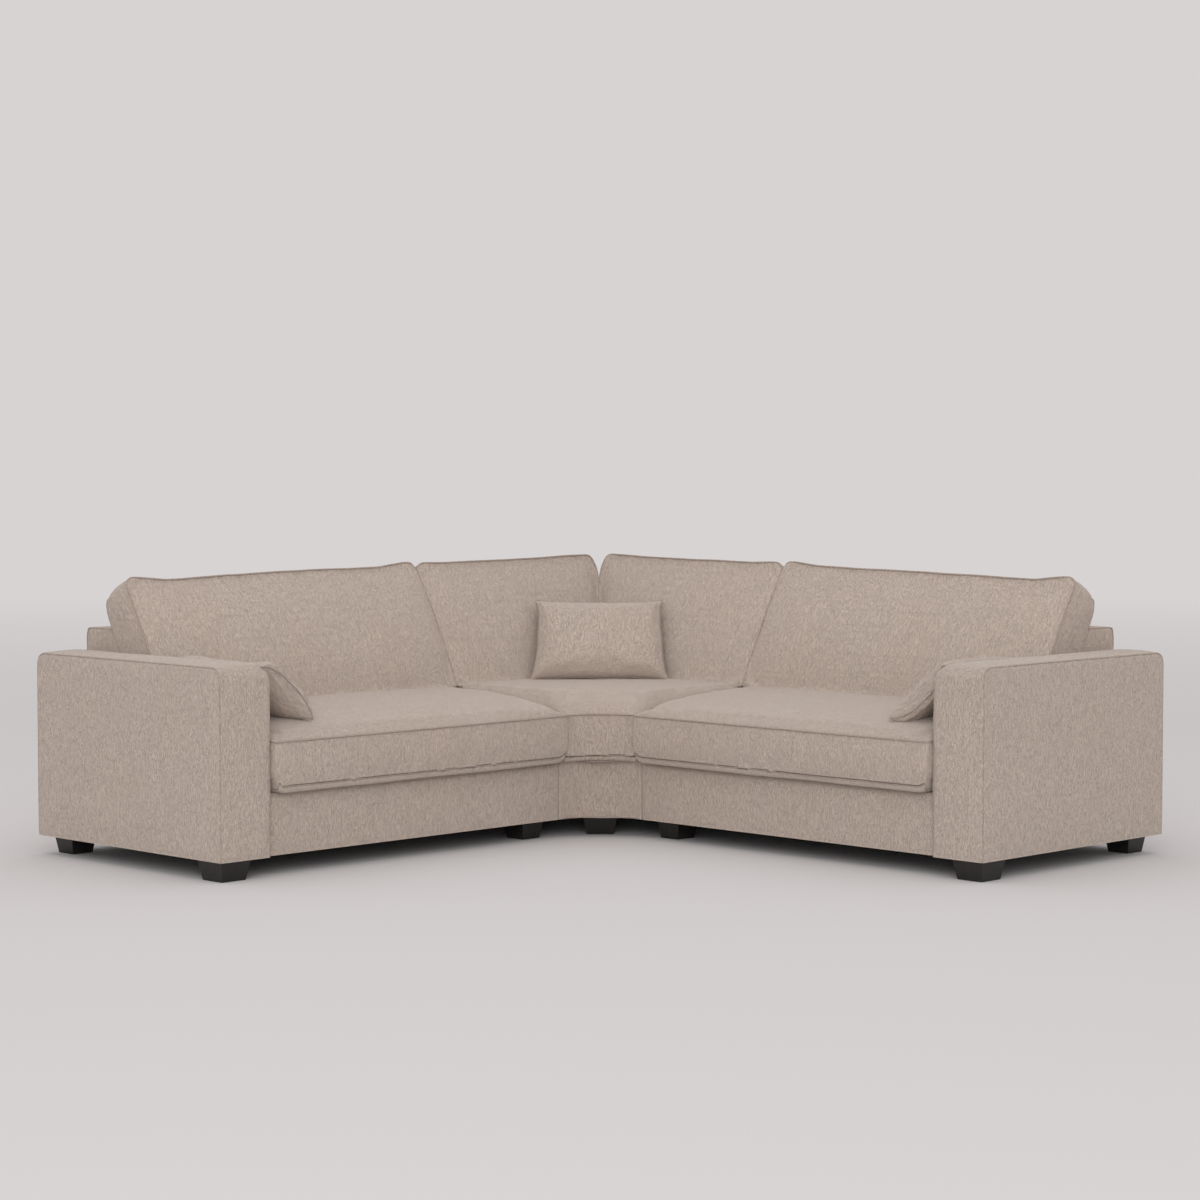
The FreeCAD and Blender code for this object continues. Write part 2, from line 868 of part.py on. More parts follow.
def make_corner_dust_cover():
    body = new_body("corner_dust_cover")
    plan = cove_loop(back_padding, corner_side - cloth, skirt_radius, cloth)
    pad(body, outline(body, PLAN, foot_height, plan), dust_cloth)
    slits = group("corner_dust_slits", stud_slits(corner_feet))
    keep("corner_dust_cover", cut("corner_dust_cover", body, slits))


def cut_mitre(body, gap):
    """Takes away what lies beyond the vertical plane through the corner's diagonal."""
    wedge = [Corner(gap, 0), Corner(depth + gap, depth), Corner(-depth, depth)]
    pocket(body, outline(body, PLAN, 0, wedge), back_height * 2)


def make_corner_back():
    body = new_body("corner_back_cover")
    pad(body, outline(body, SECTION, 0, back_outline()), corner_side)
    hollow = outline(body, SECTION, 0, cavity_outline(platform_bottom))
    pocket(body, hollow, corner_side - back_padding)
    cut_mitre(body, 0)
    keep("corner_side_back_cover", body)
    keep("corner_rear_back_cover", mirror_image("corner_rear_back", body))
    starts = (rib_row, corner_side - back_padding - rib_thickness)
    side = group("corner_side_ribs", [rib("corner_rib", start) for start in starts])
    rear = mirror_image("corner_rear_ribs", side)
    keep("corner_back_ribs", group("corner_back_ribs", [side, rear]))
    rails = []
    end = corner_side - back_padding
    for w_span, z_span in back_rail_spans():
        rails.append(timber("corner_rail", (w_span[0], end), w_span, z_span))
        rails.append(timber("corner_rail", w_span, (w_span[1], end), z_span))
    keep("corner_back_rails", group("corner_back_rails", rails))


# Soft forms: ruled lofts whose steps crowd towards the seams, where the fullness falls off as on an ellipse


def steps_between_seams(count):
    """Share of the length and fullness at each step from one seam to the other."""
    turns = [math.pi * step / count for step in range(count + 1)]
    return [((1 - math.cos(turn)) / 2, math.sin(turn)) for turn in turns]


def soft_body(name, start, length, steps, section):
    body = new_body(name)
    loft(body, [outline(body, SECTION, start + length * share, section(full)) for share, full in steps])
    return body


wing_cushion_start = corner_side + soft_gap
wing_cushion_length = arm_start - soft_gap - wing_cushion_start


def cushion_front():
    """Depth of a back cushion's lower front edge."""
    return rear_plane(back_cushion_bottom) + (soft_gap + back_cushion_thickness) * lean_factor


seat_rest = cushion_front() + arm_pillow_gap / 2


def seat_section(full):
    """Flat under the back cushion, then a crown that falls to the seam over the upright front."""
    front = seat_front - seat_end_draw * (1 - full)
    top = seat_top - seat_end_drop * (1 - full)
    run = front - seat_rest
    fall = top - seat_seam
    return [
        Corner(seat_rear, seat_bottom),
        Corner(front, seat_bottom),
        Corner(front, seat_seam, (run * run + fall * fall) / (fall * 2)),
        Corner(seat_rest, top),
        Corner(seat_rear, top),
    ]


def make_wing_seat_cushion():
    steps = steps_between_seams(CUSHION_STEPS)
    body = soft_body("seat_cushion", wing_cushion_start, wing_cushion_length, steps, seat_section)
    both_wings("seat_cushion", body)


def make_corner_seat_cushion():
    """Upright border up to the seam, then a crown that draws in from the joints, the back and the cove."""
    body = new_body("corner_seat_cushion")
    radius = corner_side - seat_front + seat_end_draw
    levels = [(seat_bottom, 0)]
    for step in range(CROWN_STEPS + 1):
        turn = math.pi / 2 * step / CROWN_STEPS
        levels.append((seat_seam + seat_crown * math.sin(turn), 1 - math.cos(turn)))
    sketches = []
    for height, spread in levels:
        inset = soft_gap + corner_crown_end * spread
        low = seat_rear + corner_crown_back * spread
        plan = cove_loop(low, corner_side - inset, radius + corner_crown_front * spread, inset)
        sketches.append(outline(body, PLAN, height, plan))
    loft(body, sketches)
    keep("corner_seat_cushion", body)


def back_section(full, swell, drop):
    """Leaning box, its front swollen between the seams and its thickness drawn in at the ends."""
    thickness = back_cushion_thickness - cushion_end_draw * (1 - full)
    top = back_cushion_top - drop
    gap = soft_gap * lean_factor
    rear_low = (rear_plane(back_cushion_bottom) + gap, back_cushion_bottom)
    front_low = (rear_low[0] + thickness * lean_factor, back_cushion_bottom)
    rear_top = (rear_plane(top) + gap, top)
    front_top = (rear_top[0] + thickness / lean_factor, top + thickness * back_lean / lean_factor)
    return [
        Corner(rear_low[0], rear_low[1]),
        swelling(front_low, front_top, cushion_end_swell + (swell - cushion_end_swell) * full),
        Corner(front_top[0], front_top[1]),
        Corner(rear_top[0], rear_top[1]),
    ]


def make_wing_back_cushion():
    steps = steps_between_seams(CUSHION_STEPS)

    def section(full):
        return back_section(full, back_cushion_swell, cushion_dip * full)

    body = soft_body("back_cushion", wing_cushion_start, wing_cushion_length, steps, section)
    both_wings("back_cushion", body)


def make_corner_back_cushion():
    """Full at its middle, with a rounded nose at the top where it meets its twin on the mitre."""
    body = new_body("corner_back_cushion")
    top_edge = rear_plane(back_cushion_top) + back_cushion_thickness / lean_factor
    nose_end = top_edge + cushion_nose
    nose = back_section(1, corner_cushion_swell, cushion_dip + cushion_nose)
    sketches = [outline(body, SECTION, back_padding, nose)]
    for step in range(NOSE_STEPS, 0, -1):
        turn = math.pi / 2 * step / NOSE_STEPS
        drop = cushion_dip + cushion_nose * (1 - math.cos(turn))
        section = back_section(1, corner_cushion_swell, drop)
        sketches.append(outline(body, SECTION, nose_end - cushion_nose * math.sin(turn), section))
    rest = corner_side - soft_gap - nose_end
    for step in range(NOSE_STEPS + 1):
        turn = math.pi / 2 * step / NOSE_STEPS
        full = math.cos(turn)
        section = back_section(full, corner_cushion_swell, cushion_dip * full)
        sketches.append(outline(body, SECTION, nose_end + rest * math.sin(turn), section))
    loft(body, sketches)
    cut_mitre(body, mitre_gap)
    keep("corner_side_back_cushion", body)
    keep("corner_rear_back_cushion", mirror_image("corner_rear_cushion", body))


# Pillows: knife-edged, thickest in the middle, their long edges drawn in between the corners


def pillow_body(name, length, height, thickness):
    body = doc.addObject("PartDesign::Body", name + "_body")
    sketches = []
    for share, full in steps_between_seams(PILLOW_STEPS):
        low = (NO_LENGTH, pillow_draw * full)
        high = (NO_LENGTH, height - pillow_draw * full)
        swell = (pillow_edge + (thickness - pillow_edge) * full) / 2
        corners = [swelling(low, high, swell), swelling(high, low, swell)]
        sketches.append(outline(body, SECTION, length * (share - 0.5), corners))
    loft(body, sketches)
    return body


def make_corner_pillow():
    """Leans across the corner, a little more upright than the cushions on both sides of it."""
    body = pillow_body("corner_pillow", pillow_length, pillow_height, pillow_thickness)
    lean = math.degrees(math.atan(back_lean.number / DIAGONAL)) - pillow_upright.number
    turn = Rotation(Vector(0, 0, 1), 45).multiply(Rotation(Vector(1, 0, 0), -lean))
    stand = cushion_front() + pillow_length / 2 * DIAGONAL + corner_cushion_swell
    place(body, stand, stand, seat_top + soft_gap, turn)
    keep("corner_pillow", body)


def fullness_at(share):
    """Fullness of a wing cushion at a share of its length, on the straight line between two steps."""
    steps = steps_between_seams(CUSHION_STEPS)
    for (start, low), (end, high) in zip(steps, steps[1:]):
        if share <= end:
            return low + (high - low) * (share - start) / (end - start)
    return 0.0


def make_arm_pillow():
    """Lies against the arm, its lower edge on the seat's crown."""
    body = pillow_body("arm_pillow", arm_pillow_length, arm_pillow_height, arm_pillow_thickness)
    lean = math.radians(arm_pillow_lean.number)
    stand = arm_start - pillow_edge - arm_pillow_height * math.sin(lean)
    share = (stand - wing_cushion_start).number / wing_cushion_length.number
    height = seat_top - seat_end_drop * (1 - fullness_at(share)) + soft_gap
    middle = cushion_front() + arm_pillow_gap + arm_pillow_length / 2
    place(body, stand, middle, height, Rotation(Vector(1, 0, 0), arm_pillow_lean.number))
    both_wings("arm_pillow", body)


# Joint plates: the tongue of each wing rests in a hook under the corner module, at two places


def bent_plate(name, corners, w, width):
    body = new_body(name)
    pad(body, outline(body, FRONT, w - width / 2, corners), width, True)
    return body


def stepped_strip(flange_end, step, tongue_end, top, drop):
    """Strip with a flange, a downward step and a lower end, reaching in the direction of tongue_end."""
    sign = 1 if tongue_end.number > flange_end.number else -1
    low = top - plate_thickness
    outer = [
        Corner(flange_end, top),
        Corner(flange_end, low),
        Corner(step - plate_thickness * sign, low),
        Corner(step - plate_thickness * sign, low - drop),
        Corner(tongue_end, low - drop),
        Corner(tongue_end, top - drop),
        Corner(step, top - drop),
        Corner(step, top),
    ]
    return outer if sign > 0 else outer[::-1]


def make_joint_plates():
    parts = []
    flange = hook_reach + plate_thickness * 2
    for w in (rear_plate_depth, front_plate_depth):
        hook_step = corner_side - flange
        hook_end = hook_step - flange_length
        lip = corner_side - plate_setback
        hook = stepped_strip(hook_end, hook_step, lip, foot_height, plate_thickness * 2)
        parts.append(bent_plate("hook_plate", hook, w, plate_width))
        tongue_step = corner_side + plate_setback
        tongue_end = tongue_step + flange_length
        tip = corner_side - hook_reach
        tongue = stepped_strip(tongue_end, tongue_step, tip, foot_height, plate_thickness)
        parts.append(bent_plate("tongue_plate", tongue, w, tongue_width))
    both_wings("joint_plates", group("joint_plates", parts))


def build_wings():
    make_wing_frame()
    make_wing_foot_blocks()
    make_wing_webbing()
    make_wing_base_cover()
    make_wing_dust_cover()
    make_wing_back()
    make_arm_cover()
    make_arm_frame()
    make_arm_bolts()
    both_wings("feet", make_feet(wing_feet))
    both_wings("foot_studs", make_studs(wing_feet))


def build_corner():
    make_corner_frame()
    make_corner_foot_blocks()
    make_corner_webbing()
    make_corner_base_cover()
    make_corner_dust_cover()
    make_corner_back()
    keep("corner_feet", make_feet(corner_feet))
    keep("corner_foot_studs", make_studs(corner_feet))
    make_joint_plates()


def build_soft_parts():
    make_wing_seat_cushion()
    make_wing_back_cushion()
    make_corner_seat_cushion()
    make_corner_back_cushion()
    make_corner_pillow()
    make_arm_pillow()


def check_document():
    for thing in doc.Objects:
        if "Invalid" in thing.State or "Error" in thing.State:
            raise RuntimeError("%s failed: %s" % (thing.Name, thing.State))
    for name, thing in nodes.items():
        shape = thing.Shape
        if shape.isNull() or not shape.isValid():
            raise RuntimeError("%s has no valid shape" % name)
    for name, before, after in cuts:
        if after.Shape.Volume >= before.Shape.Volume - TOUCH:
            raise RuntimeError("%s takes nothing away" % name)


def export_nodes():
    os.makedirs("parts", exist_ok=True)
    for name, thing in nodes.items():
        thing.Shape.exportStep("parts/%s.step" % name)


build_wings()
build_corner()
build_soft_parts()
doc.recompute()
check_document()
export_nodes()
print("nodes", len(nodes), "solids", sum(len(thing.Shape.Solids) for thing in nodes.values()))
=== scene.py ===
import json
import math

import bpy
import numpy as np
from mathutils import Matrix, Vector, noise


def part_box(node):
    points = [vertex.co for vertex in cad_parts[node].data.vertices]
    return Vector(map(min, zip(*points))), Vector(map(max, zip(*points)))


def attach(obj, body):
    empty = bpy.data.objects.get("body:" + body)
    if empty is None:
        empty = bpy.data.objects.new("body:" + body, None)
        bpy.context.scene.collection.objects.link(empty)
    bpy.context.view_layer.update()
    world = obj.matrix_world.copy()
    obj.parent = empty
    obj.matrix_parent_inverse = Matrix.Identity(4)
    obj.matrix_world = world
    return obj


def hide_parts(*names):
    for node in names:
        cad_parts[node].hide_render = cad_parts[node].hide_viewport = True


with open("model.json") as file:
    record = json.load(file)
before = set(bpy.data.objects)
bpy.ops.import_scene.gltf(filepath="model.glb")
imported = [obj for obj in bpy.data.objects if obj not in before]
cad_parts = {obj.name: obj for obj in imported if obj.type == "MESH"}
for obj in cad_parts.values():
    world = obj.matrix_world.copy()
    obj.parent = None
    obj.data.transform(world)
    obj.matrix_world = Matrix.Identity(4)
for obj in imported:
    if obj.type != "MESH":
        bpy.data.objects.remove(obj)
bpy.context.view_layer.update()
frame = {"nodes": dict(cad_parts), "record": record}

# Corner sofa in metres. As in the model, u runs from the outer corner along a wing, w from the outer face
# of its back towards the seat, and z up. The side wing stands along Y, the rear wing along X.

scene = bpy.context.scene

# Camera, fitted to the photograph
CAMERA_AZIMUTH = 44.725
CAMERA_PITCH = 3.05
CAMERA_DISTANCE = 9.386
CAMERA_HEIGHT = 1.304
CAMERA_SIDE = -0.0028
CAMERA_LENS = 89.3
CAMERA_SENSOR = 36.0
CAMERA_REACH = 100.0

# Heights and leans shared with the model
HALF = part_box("rear_arm_cover")[1].x
DECK = 0.25
BACK_LEAN = 0.53
LEAN_FACTOR = math.hypot(1.0, BACK_LEAN)
SOFT_GAP = 0.0003

# Seat cushions
SEAT_LOW_SEAM = 0.271
SEAT_HIGH_SEAM = 0.4053
SEAT_CROWN = 0.067
SEAT_END_DROP = 0.008
SEAT_REAR_ROUND = 0.05
# How far from a joint the crown starts to fall: two depths, and the distance at each
SEAT_JOINT_REACH = ((0.4, 0.75), (0.012, 0.06))
SEAT_COVE_REACH = 0.15
CROWN_BLEND = 3
# In front of this depth the crown falls to the front
SEAT_REST = 0.43
SEAT_UNDER_ROUND = 0.012
SEAT_CORNER_ROUND = 0.01
SEAT_TOP_ROUND = 0.012
SEAT_LOW_ROUND = 0.042
SEAT_HEM = 0.003
SEAT_RECESS = 0.014
SEAT_FRONT_BULGE = 0.005
SEAT_FRONT_INSET = 0.002
# Points of the corner cushion this near to a joint stay where they are
AT_JOINT = 0.001

# Back cushions
BACK_THICKNESS = 0.142
BACK_TOP = 0.814
BACK_SWELL = 0.036
CORNER_SWELL = 0.024
END_SWELL = 0.01
END_DRAW = 0.014
END_BULGE = 0.009
TOP_BULGE = 0.005
# Fullness at a share x from the middle of the length: (1 - x ** power) ** root
FULL_POWER = 3.5
FULL_ROOT = 0.6
# Mean place of a corner cushion's end, and its distance from the mitre
CORNER_START = 0.25
MITRE_GAP = 0.0005
NOSE_WIDE = 0.062
NOSE_TALL = 0.12
TOP_CORNER_ROUND = 0.032
REAR_ROUND = 0.075
LOW_CORNER_ROUND = 0.006
# Rise of the top seam over BACK_TOP, by the share of the length from the corner's end
WING_TOP_LINE = (
    (0, 0.011), (0.05, 0.009), (0.14, -0.001), (0.5, -0.005), (0.88, -0.013), (0.96, -0.003), (1, 0.0),
)
CORNER_TOP_LINE = ((0, 0.014), (0.12, 0.011), (0.35, 0.006), (0.85, 0.003), (1, 0.008))

# Pillows: length, height and thickness, then their forms
CORNER_PILLOW = (0.486, 0.328, 0.116)
ARM_PILLOW = (0.43, 0.262, 0.112)
CORNER_PILLOW_FORM = {"end_power": 4.6, "low_power": 5, "taper": 0.035}
ARM_PILLOW_FORM = {"end_power": 8, "low_power": 5, "bow": 0.04, "droop": 0.012}
# Degrees that the corner pillow stands steeper than the line where the two backs meet
CORNER_PILLOW_STEEPER = 4.0
ARM_PILLOW_LEAN = 52.0
PILLOW_POWER = 3.0
PILLOW_ROOT = 0.5
BOW_POWER = 4
# How far the middles of the ends and of the long sides draw in, as shares of half the size
END_WAIST = 0.055
SIDE_WAIST = 0.075
# The sheet with the fuller lower half: 1 is the front sheet, -1 the back one
FULL_SHEET = -1

# Covers
ARM_INNER_ROUND = 0.055
ARM_END_ROUND = 0.036
ARM_UPRIGHT_ROUND = 0.018
ARM_OUTER_ROUND = 0.008
BASE_END_ROUND = 0.01
BASE_FRONT_ROUND = 0.012
COVER_TOP_DEPTH = 0.135
COVER_FOOT_DEPTH = 0.012
COVER_TOP_ROUND = 0.025
COVER_END_ROUND = 0.012
BOTTOM_TURN = 0.004
# How far padding lifts a panel, and how far from the panel's seams it comes to that
ARM_TOP_SWELL = 0.005
ARM_TOP_REACH = 0.1
ARM_SIDE_SWELL = 0.003
ARM_SIDE_REACH = 0.12
ARM_FRONT_SWELL = 0.003
ARM_FRONT_REACH = 0.08
BASE_SWELL = 0.003
BASE_REACH = 0.1
COVER_SWELL = 0.004
COVER_END_REACH = 0.15
COVER_EDGE_REACH = 0.12

# Seams: radii, and the shares of them that pipings stand proud
PIPING = 0.003
LOW_PIPING = 0.0017
PROUD = 0.3
LOW_PROUD = 1.0
SEAM_RIDGE = 0.002
SEAM_DEPTH = 0.002
PILLOW_SEAM = 0.0014
TUBE_SIDES = 8

# Cells of the meshes
STEP = 0.011
RING_STEP = 0.0055
PILLOW_STEP = 0.0075
# Rough lengths of the backs' sections, for their number of cells
COVER_SECTION = 0.2
CUSHION_SECTION = 0.4
# How much points crowd towards rounded edges
CROWD = 0.5
LONG_CROWD = 0.6
ARM_CROWD = 0.7
COVER_CROWD = 0.8
TINY = 1e-9
# How far a seed's step moves the noise along each axis
SEED_STEP = (7.31, 3.17, 5.73)

# Weave: depth of its relief, then sizes of ridges on upright and on level cloth, yarn, grain, flecks
# and patches
WEAVE_DEPTH = 0.001
SLUB_SIZE = (0.005, 0.005, 0.024)
LEVEL_SLUB_SIZE = (0.009, 0.009, 0.009)
YARN_SIZE = (0.0028, 0.0028, 0.008)
GRAIN_SIZE = (0.0025, 0.0025, 0.003)
FLECK_SIZE = (0.004, 0.004, 0.008)
PATCH_SIZE = (0.25, 0.25, 0.35)

# Waves of the surfaces: height and size of each
COVER_WAVES = ((0.0012, 0.16), (0.0006, 0.05))
SEAT_WAVES = ((0.0022, 0.22), (0.001, 0.09))
BACK_WAVES = ((0.0028, 0.2), (0.0013, 0.08))
PILLOW_WAVES = ((0.0025, 0.12), (0.0012, 0.045))

# Cloth simulation: a cap is the most that it moves a point
CLOTH_FRAMES = 20
CLOTH_PRESSURE = 4.0
SPARE_CLOTH = 0.02
TOP_CAP = 0.008
SIDE_CAP = 0.0012
PILLOW_CAP = 0.007

# Fills of the soft pieces
SEAT_FILL = 0.75
BACK_FILL = 0.7
PILLOW_FILL = 0.6

# Feet
FOOT_BEVEL = 0.003
BEVEL_ANGLE = 25
WELD_DISTANCE = 0.0001

# Tones
WEAVE_TONE = (0.5, 0.42, 0.36)
# Pipings are darker than the cloth: painted shade along the seams
PIPING_SHADE_TONE = (0.42, 0.34, 0.29)
FLOOR_TONE = (0.625, 0.612, 0.61)
LOW_SKY_TONE = (0.68, 0.651, 0.648)
HIGH_SKY_TONE = (0.93, 0.905, 0.905)

# Floor, which fades out between two distances, sky, which changes between two heights, and lamps
FLOOR_REACH = 30.0
FLOOR_FADE = (5.0, 16.0)
SKY_CHANGE = (0.15, 0.8)
# Name, place, target, size and watts
LAMPS = (
    ("overhead", (-0.6, -0.4, 6.0), (0.0, 0.0, 0.0), 4.0, 25.0),
    ("front", (9.7, -10.5, 4.6), (0.0, 0.0, 0.3), 8.0, 700.0),
)


def make_camera():
    azimuth = math.radians(CAMERA_AZIMUTH)
    pitch = math.radians(CAMERA_PITCH)
    back = Vector((math.sin(azimuth), -math.cos(azimuth), 0.0))
    right = Vector((math.cos(azimuth), math.sin(azimuth), 0.0))
    data = bpy.data.cameras.new("camera")
    data.sensor_width = CAMERA_SENSOR
    data.lens = CAMERA_LENS
    data.clip_end = CAMERA_REACH
    camera = bpy.data.objects.new("camera", data)
    camera.location = back * CAMERA_DISTANCE + right * CAMERA_SIDE + Vector((0.0, 0.0, CAMERA_HEIGHT))
    ahead = -back * math.cos(pitch) - Vector((0.0, 0.0, math.sin(pitch)))
    camera.rotation_euler = ahead.to_track_quat("-Z", "Y").to_euler()
    scene.collection.objects.link(camera)
    scene.camera = camera


# Materials


def tint(tone, factor=1.0):
    """A tone made darker or brighter, as the colour of a shader."""
    return tuple(value * factor for value in tone) + (1.0,)


class Graph:
    """Node tree of a material or world, with short calls to add nodes and links."""

    def __init__(self, owner):
        owner.use_nodes = True
        self.tree = owner.node_tree
        self.tree.nodes.clear()

    def add(self, kind, settings=None, **inputs):
        node = self.tree.nodes.new(kind)
        for name, value in (settings or {}).items():
            setattr(node, name, value)
        for name, value in inputs.items():
            self.put(node, int(name[1:]) if name[1:].isdigit() else name.replace("_", " "), value)
        return node

    def put(self, node, socket, value):
        if isinstance(value, bpy.types.NodeSocket):
            self.tree.links.new(value, node.inputs[socket])
        else:
            node.inputs[socket].default_value = value

    def field(self, vector, size, detail=2.0, roughness=0.5):
        """Noise whose grains measure about size, in metres, along each axis."""
        scale = tuple(1.0 / length for length in size)
        spread = self.add("ShaderNodeMapping", Vector=vector, Scale=scale)
        grain = self.add("ShaderNodeTexNoise", Vector=spread.outputs[0], Scale=1.0, Detail=detail)
        grain.inputs["Roughness"].default_value = roughness
        return grain.outputs[0]

    def between(self, value, low, high, out_low=0.0, out_high=1.0):
        node = self.add("ShaderNodeMapRange", i0=value, i1=low, i2=high, i3=out_low, i4=out_high)
        return node.outputs[0]

    def math(self, operation, first, second):
        return self.add("ShaderNodeMath", {"operation": operation}, i0=first, i1=second).outputs[0]

    def vector(self, operation, first, second):
        return self.add("ShaderNodeVectorMath", {"operation": operation}, i0=first, i1=second).outputs[0]

    def blend(self, share, first, second):
        node = self.add("ShaderNodeMix", {"data_type": "RGBA"}, i0=share, i6=first, i7=second)
        return node.outputs[2]

    def mix(self, share, first, second):
        node = self.add("ShaderNodeMix", {"data_type": "FLOAT"}, i0=share, i2=first, i3=second)
        return node.outputs[0]


def shade(name, base, roughness, build, **plain):
    """Material with a Principled shader.

    build(graph, place) gives colour, height and the height's depth, and plain gives the even values."""
    material = bpy.data.materials.new(name)
    graph = Graph(material)
    place = graph.add("ShaderNodeTexCoord")
    color, height, depth = build(graph, place)
    shader = graph.add("ShaderNodeBsdfPrincipled", Base_Color=color, Roughness=roughness)
    for socket, value in plain.items():
        shader.inputs[socket.replace("_", " ")].default_value = value
    bump = graph.add("ShaderNodeBump", Strength=1.0, Distance=depth, Height=height)
    graph.put(shader, "Normal", bump.outputs[0])
    out = graph.add("ShaderNodeOutputMaterial")
    graph.put(out, "Surface", shader.outputs[0])
    material.diffuse_color = tint(base)
    return material


def weave(name, tone, lean=(0.0, 0.0)):
    """Slub weave: upright ridges parted by wavering creases that are painted darker as painted shade,
    fine grain, and a few pale flecks.

    A piece leans along X and Y by lean for each metre up, and its ridges with it."""

    def build(graph, place):
        rise = graph.add("ShaderNodeSeparateXYZ", Vector=place.outputs["Object"]).outputs[2]
        shift = graph.add("ShaderNodeCombineXYZ", X=rise, Y=rise).outputs[0]
        shift = graph.vector("MULTIPLY", shift, (*lean, 0.0))
        spot = graph.vector("SUBTRACT", place.outputs["Object"], shift)
        upright = graph.add("ShaderNodeSeparateXYZ", Vector=place.outputs["Normal"]).outputs[2]
        level = graph.between(graph.math("ABSOLUTE", upright, 0.0), 0.8, 0.95)
        slub = graph.mix(level, graph.field(spot, SLUB_SIZE), graph.field(spot, LEVEL_SLUB_SIZE))
        fold = graph.math("ABSOLUTE", graph.math("SUBTRACT", slub, 0.5), 0.0)
        ridge = graph.between(fold, 0.0, 0.04)
        yarn = graph.field(spot, YARN_SIZE, roughness=0.6)
        grain = graph.field(spot, GRAIN_SIZE, roughness=0.6)
        fleck = graph.between(graph.field(spot, FLECK_SIZE, detail=0.0), 0.69, 0.8)
        patch = graph.field(spot, PATCH_SIZE)
        color = graph.blend(graph.between(yarn, 0.3, 0.7), tint(tone, 0.82), tint(tone, 1.17))
        # Painted shade: the creases between the ridges are darkened in the colour
        color = graph.blend(graph.between(ridge, 0.0, 1.0, 0.62, 0.0), color, tint(tone, 0.76))
        warm = (tone[0] * 0.98, tone[1] * 0.94, tone[2] * 0.91, 1.0)
        color = graph.blend(graph.between(patch, 0.35, 0.7, 0.0, 0.4), color, warm)
        color = graph.blend(graph.between(grain, 0.3, 0.6, 0.35, 0.0), color, tint(tone, 0.62))
        color = graph.blend(graph.math("MULTIPLY", fleck, 0.45), color, tint(tone, 1.35))
        height = graph.math("ADD", ridge, graph.math("MULTIPLY", yarn, 0.6))
        height = graph.math("ADD", height, graph.math("MULTIPLY", grain, 0.4))
        return color, height, WEAVE_DEPTH

    plain = {"Sheen_Weight": 0.2, "Sheen_Roughness": 0.6, "Specular_IOR_Level": 0.12}
    return shade(name, tone, 0.95, build, **plain)


def timber(name, pale, dark, size, depth, roughness=0.7):
    """Wood with its grain along the longest of the three sizes."""

    def build(graph, place):
        spot = place.outputs["Object"]
        rings = graph.field(spot, size, 4.0, 0.6)
        pores = graph.field(spot, tuple(length / 6 for length in size), 2.0, 0.7)
        color = graph.blend(graph.between(rings, 0.35, 0.65), tint(dark), tint(pale))
        color = graph.blend(graph.between(pores, 0.35, 0.6, 0.35, 0.0), color, tint(dark, 0.5))
        return color, graph.math("ADD", rings, pores), depth

    return shade(name, pale, roughness, build)


def layered(name):
    """Raw plywood: thin layers that turn by turn show along and across the grain."""
    pale, dark, across = (0.6, 0.44, 0.26), (0.42, 0.28, 0.14), (0.22, 0.13, 0.06)

    def build(graph, place):
        spot = place.outputs["Object"]
        layers = graph.field(spot, (0.0016, 0.4, 0.4), 0.0)
        grain = graph.field(spot, (0.02, 0.02, 0.15), 4.0)
        color = graph.blend(graph.between(grain, 0.35, 0.65), tint(dark), tint(pale))
        color = graph.blend(graph.between(layers, 0.45, 0.55, 0.0, 0.3), color, tint(across))
        return color, grain, 0.0004

    return shade(name, pale, 0.75, build)


def metal(name):
    """Zinc-plated steel with faint cloudy spangle."""
    dull, bright = (0.45, 0.46, 0.47), (0.66, 0.67, 0.68)

    def build(graph, place):
        spot = place.outputs["Object"]
        cloud = graph.field(spot, (0.006, 0.006, 0.006), 3.0)
        color = graph.blend(graph.between(cloud, 0.3, 0.7), tint(dull), tint(bright))
        return color, cloud, 0.0002

    return shade(name, (0.6, 0.6, 0.6), 0.38, build, Metallic=1.0)


def cloth(name, tone, size, depth):
    """Plain thin cloth: a tangle of short fibres."""

    def build(graph, place):
        spot = place.outputs["Object"]
        fibre = graph.field(spot, size, 3.0, 0.7)
        color = graph.blend(graph.between(fibre, 0.35, 0.65), tint(tone, 0.7), tint(tone, 1.4))
        return color, fibre, depth

    return shade(name, tone, 0.95, build)


# Forms on a lattice


def side_place(u, w, z):
    return np.stack([w - HALF, HALF - u, z], 1)


def rear_place(u, w, z):
    return np.stack([u - HALF, HALF - w, z], 1)


WINGS = (("side", side_place), ("rear", rear_place))


def spans(node):
    """A rear node's box as its lowest and highest u, w and z."""
    low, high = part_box(node)
    return (low.x + HALF, high.x + HALF), (HALF - high.y, HALF - low.y), (low.z, high.z)


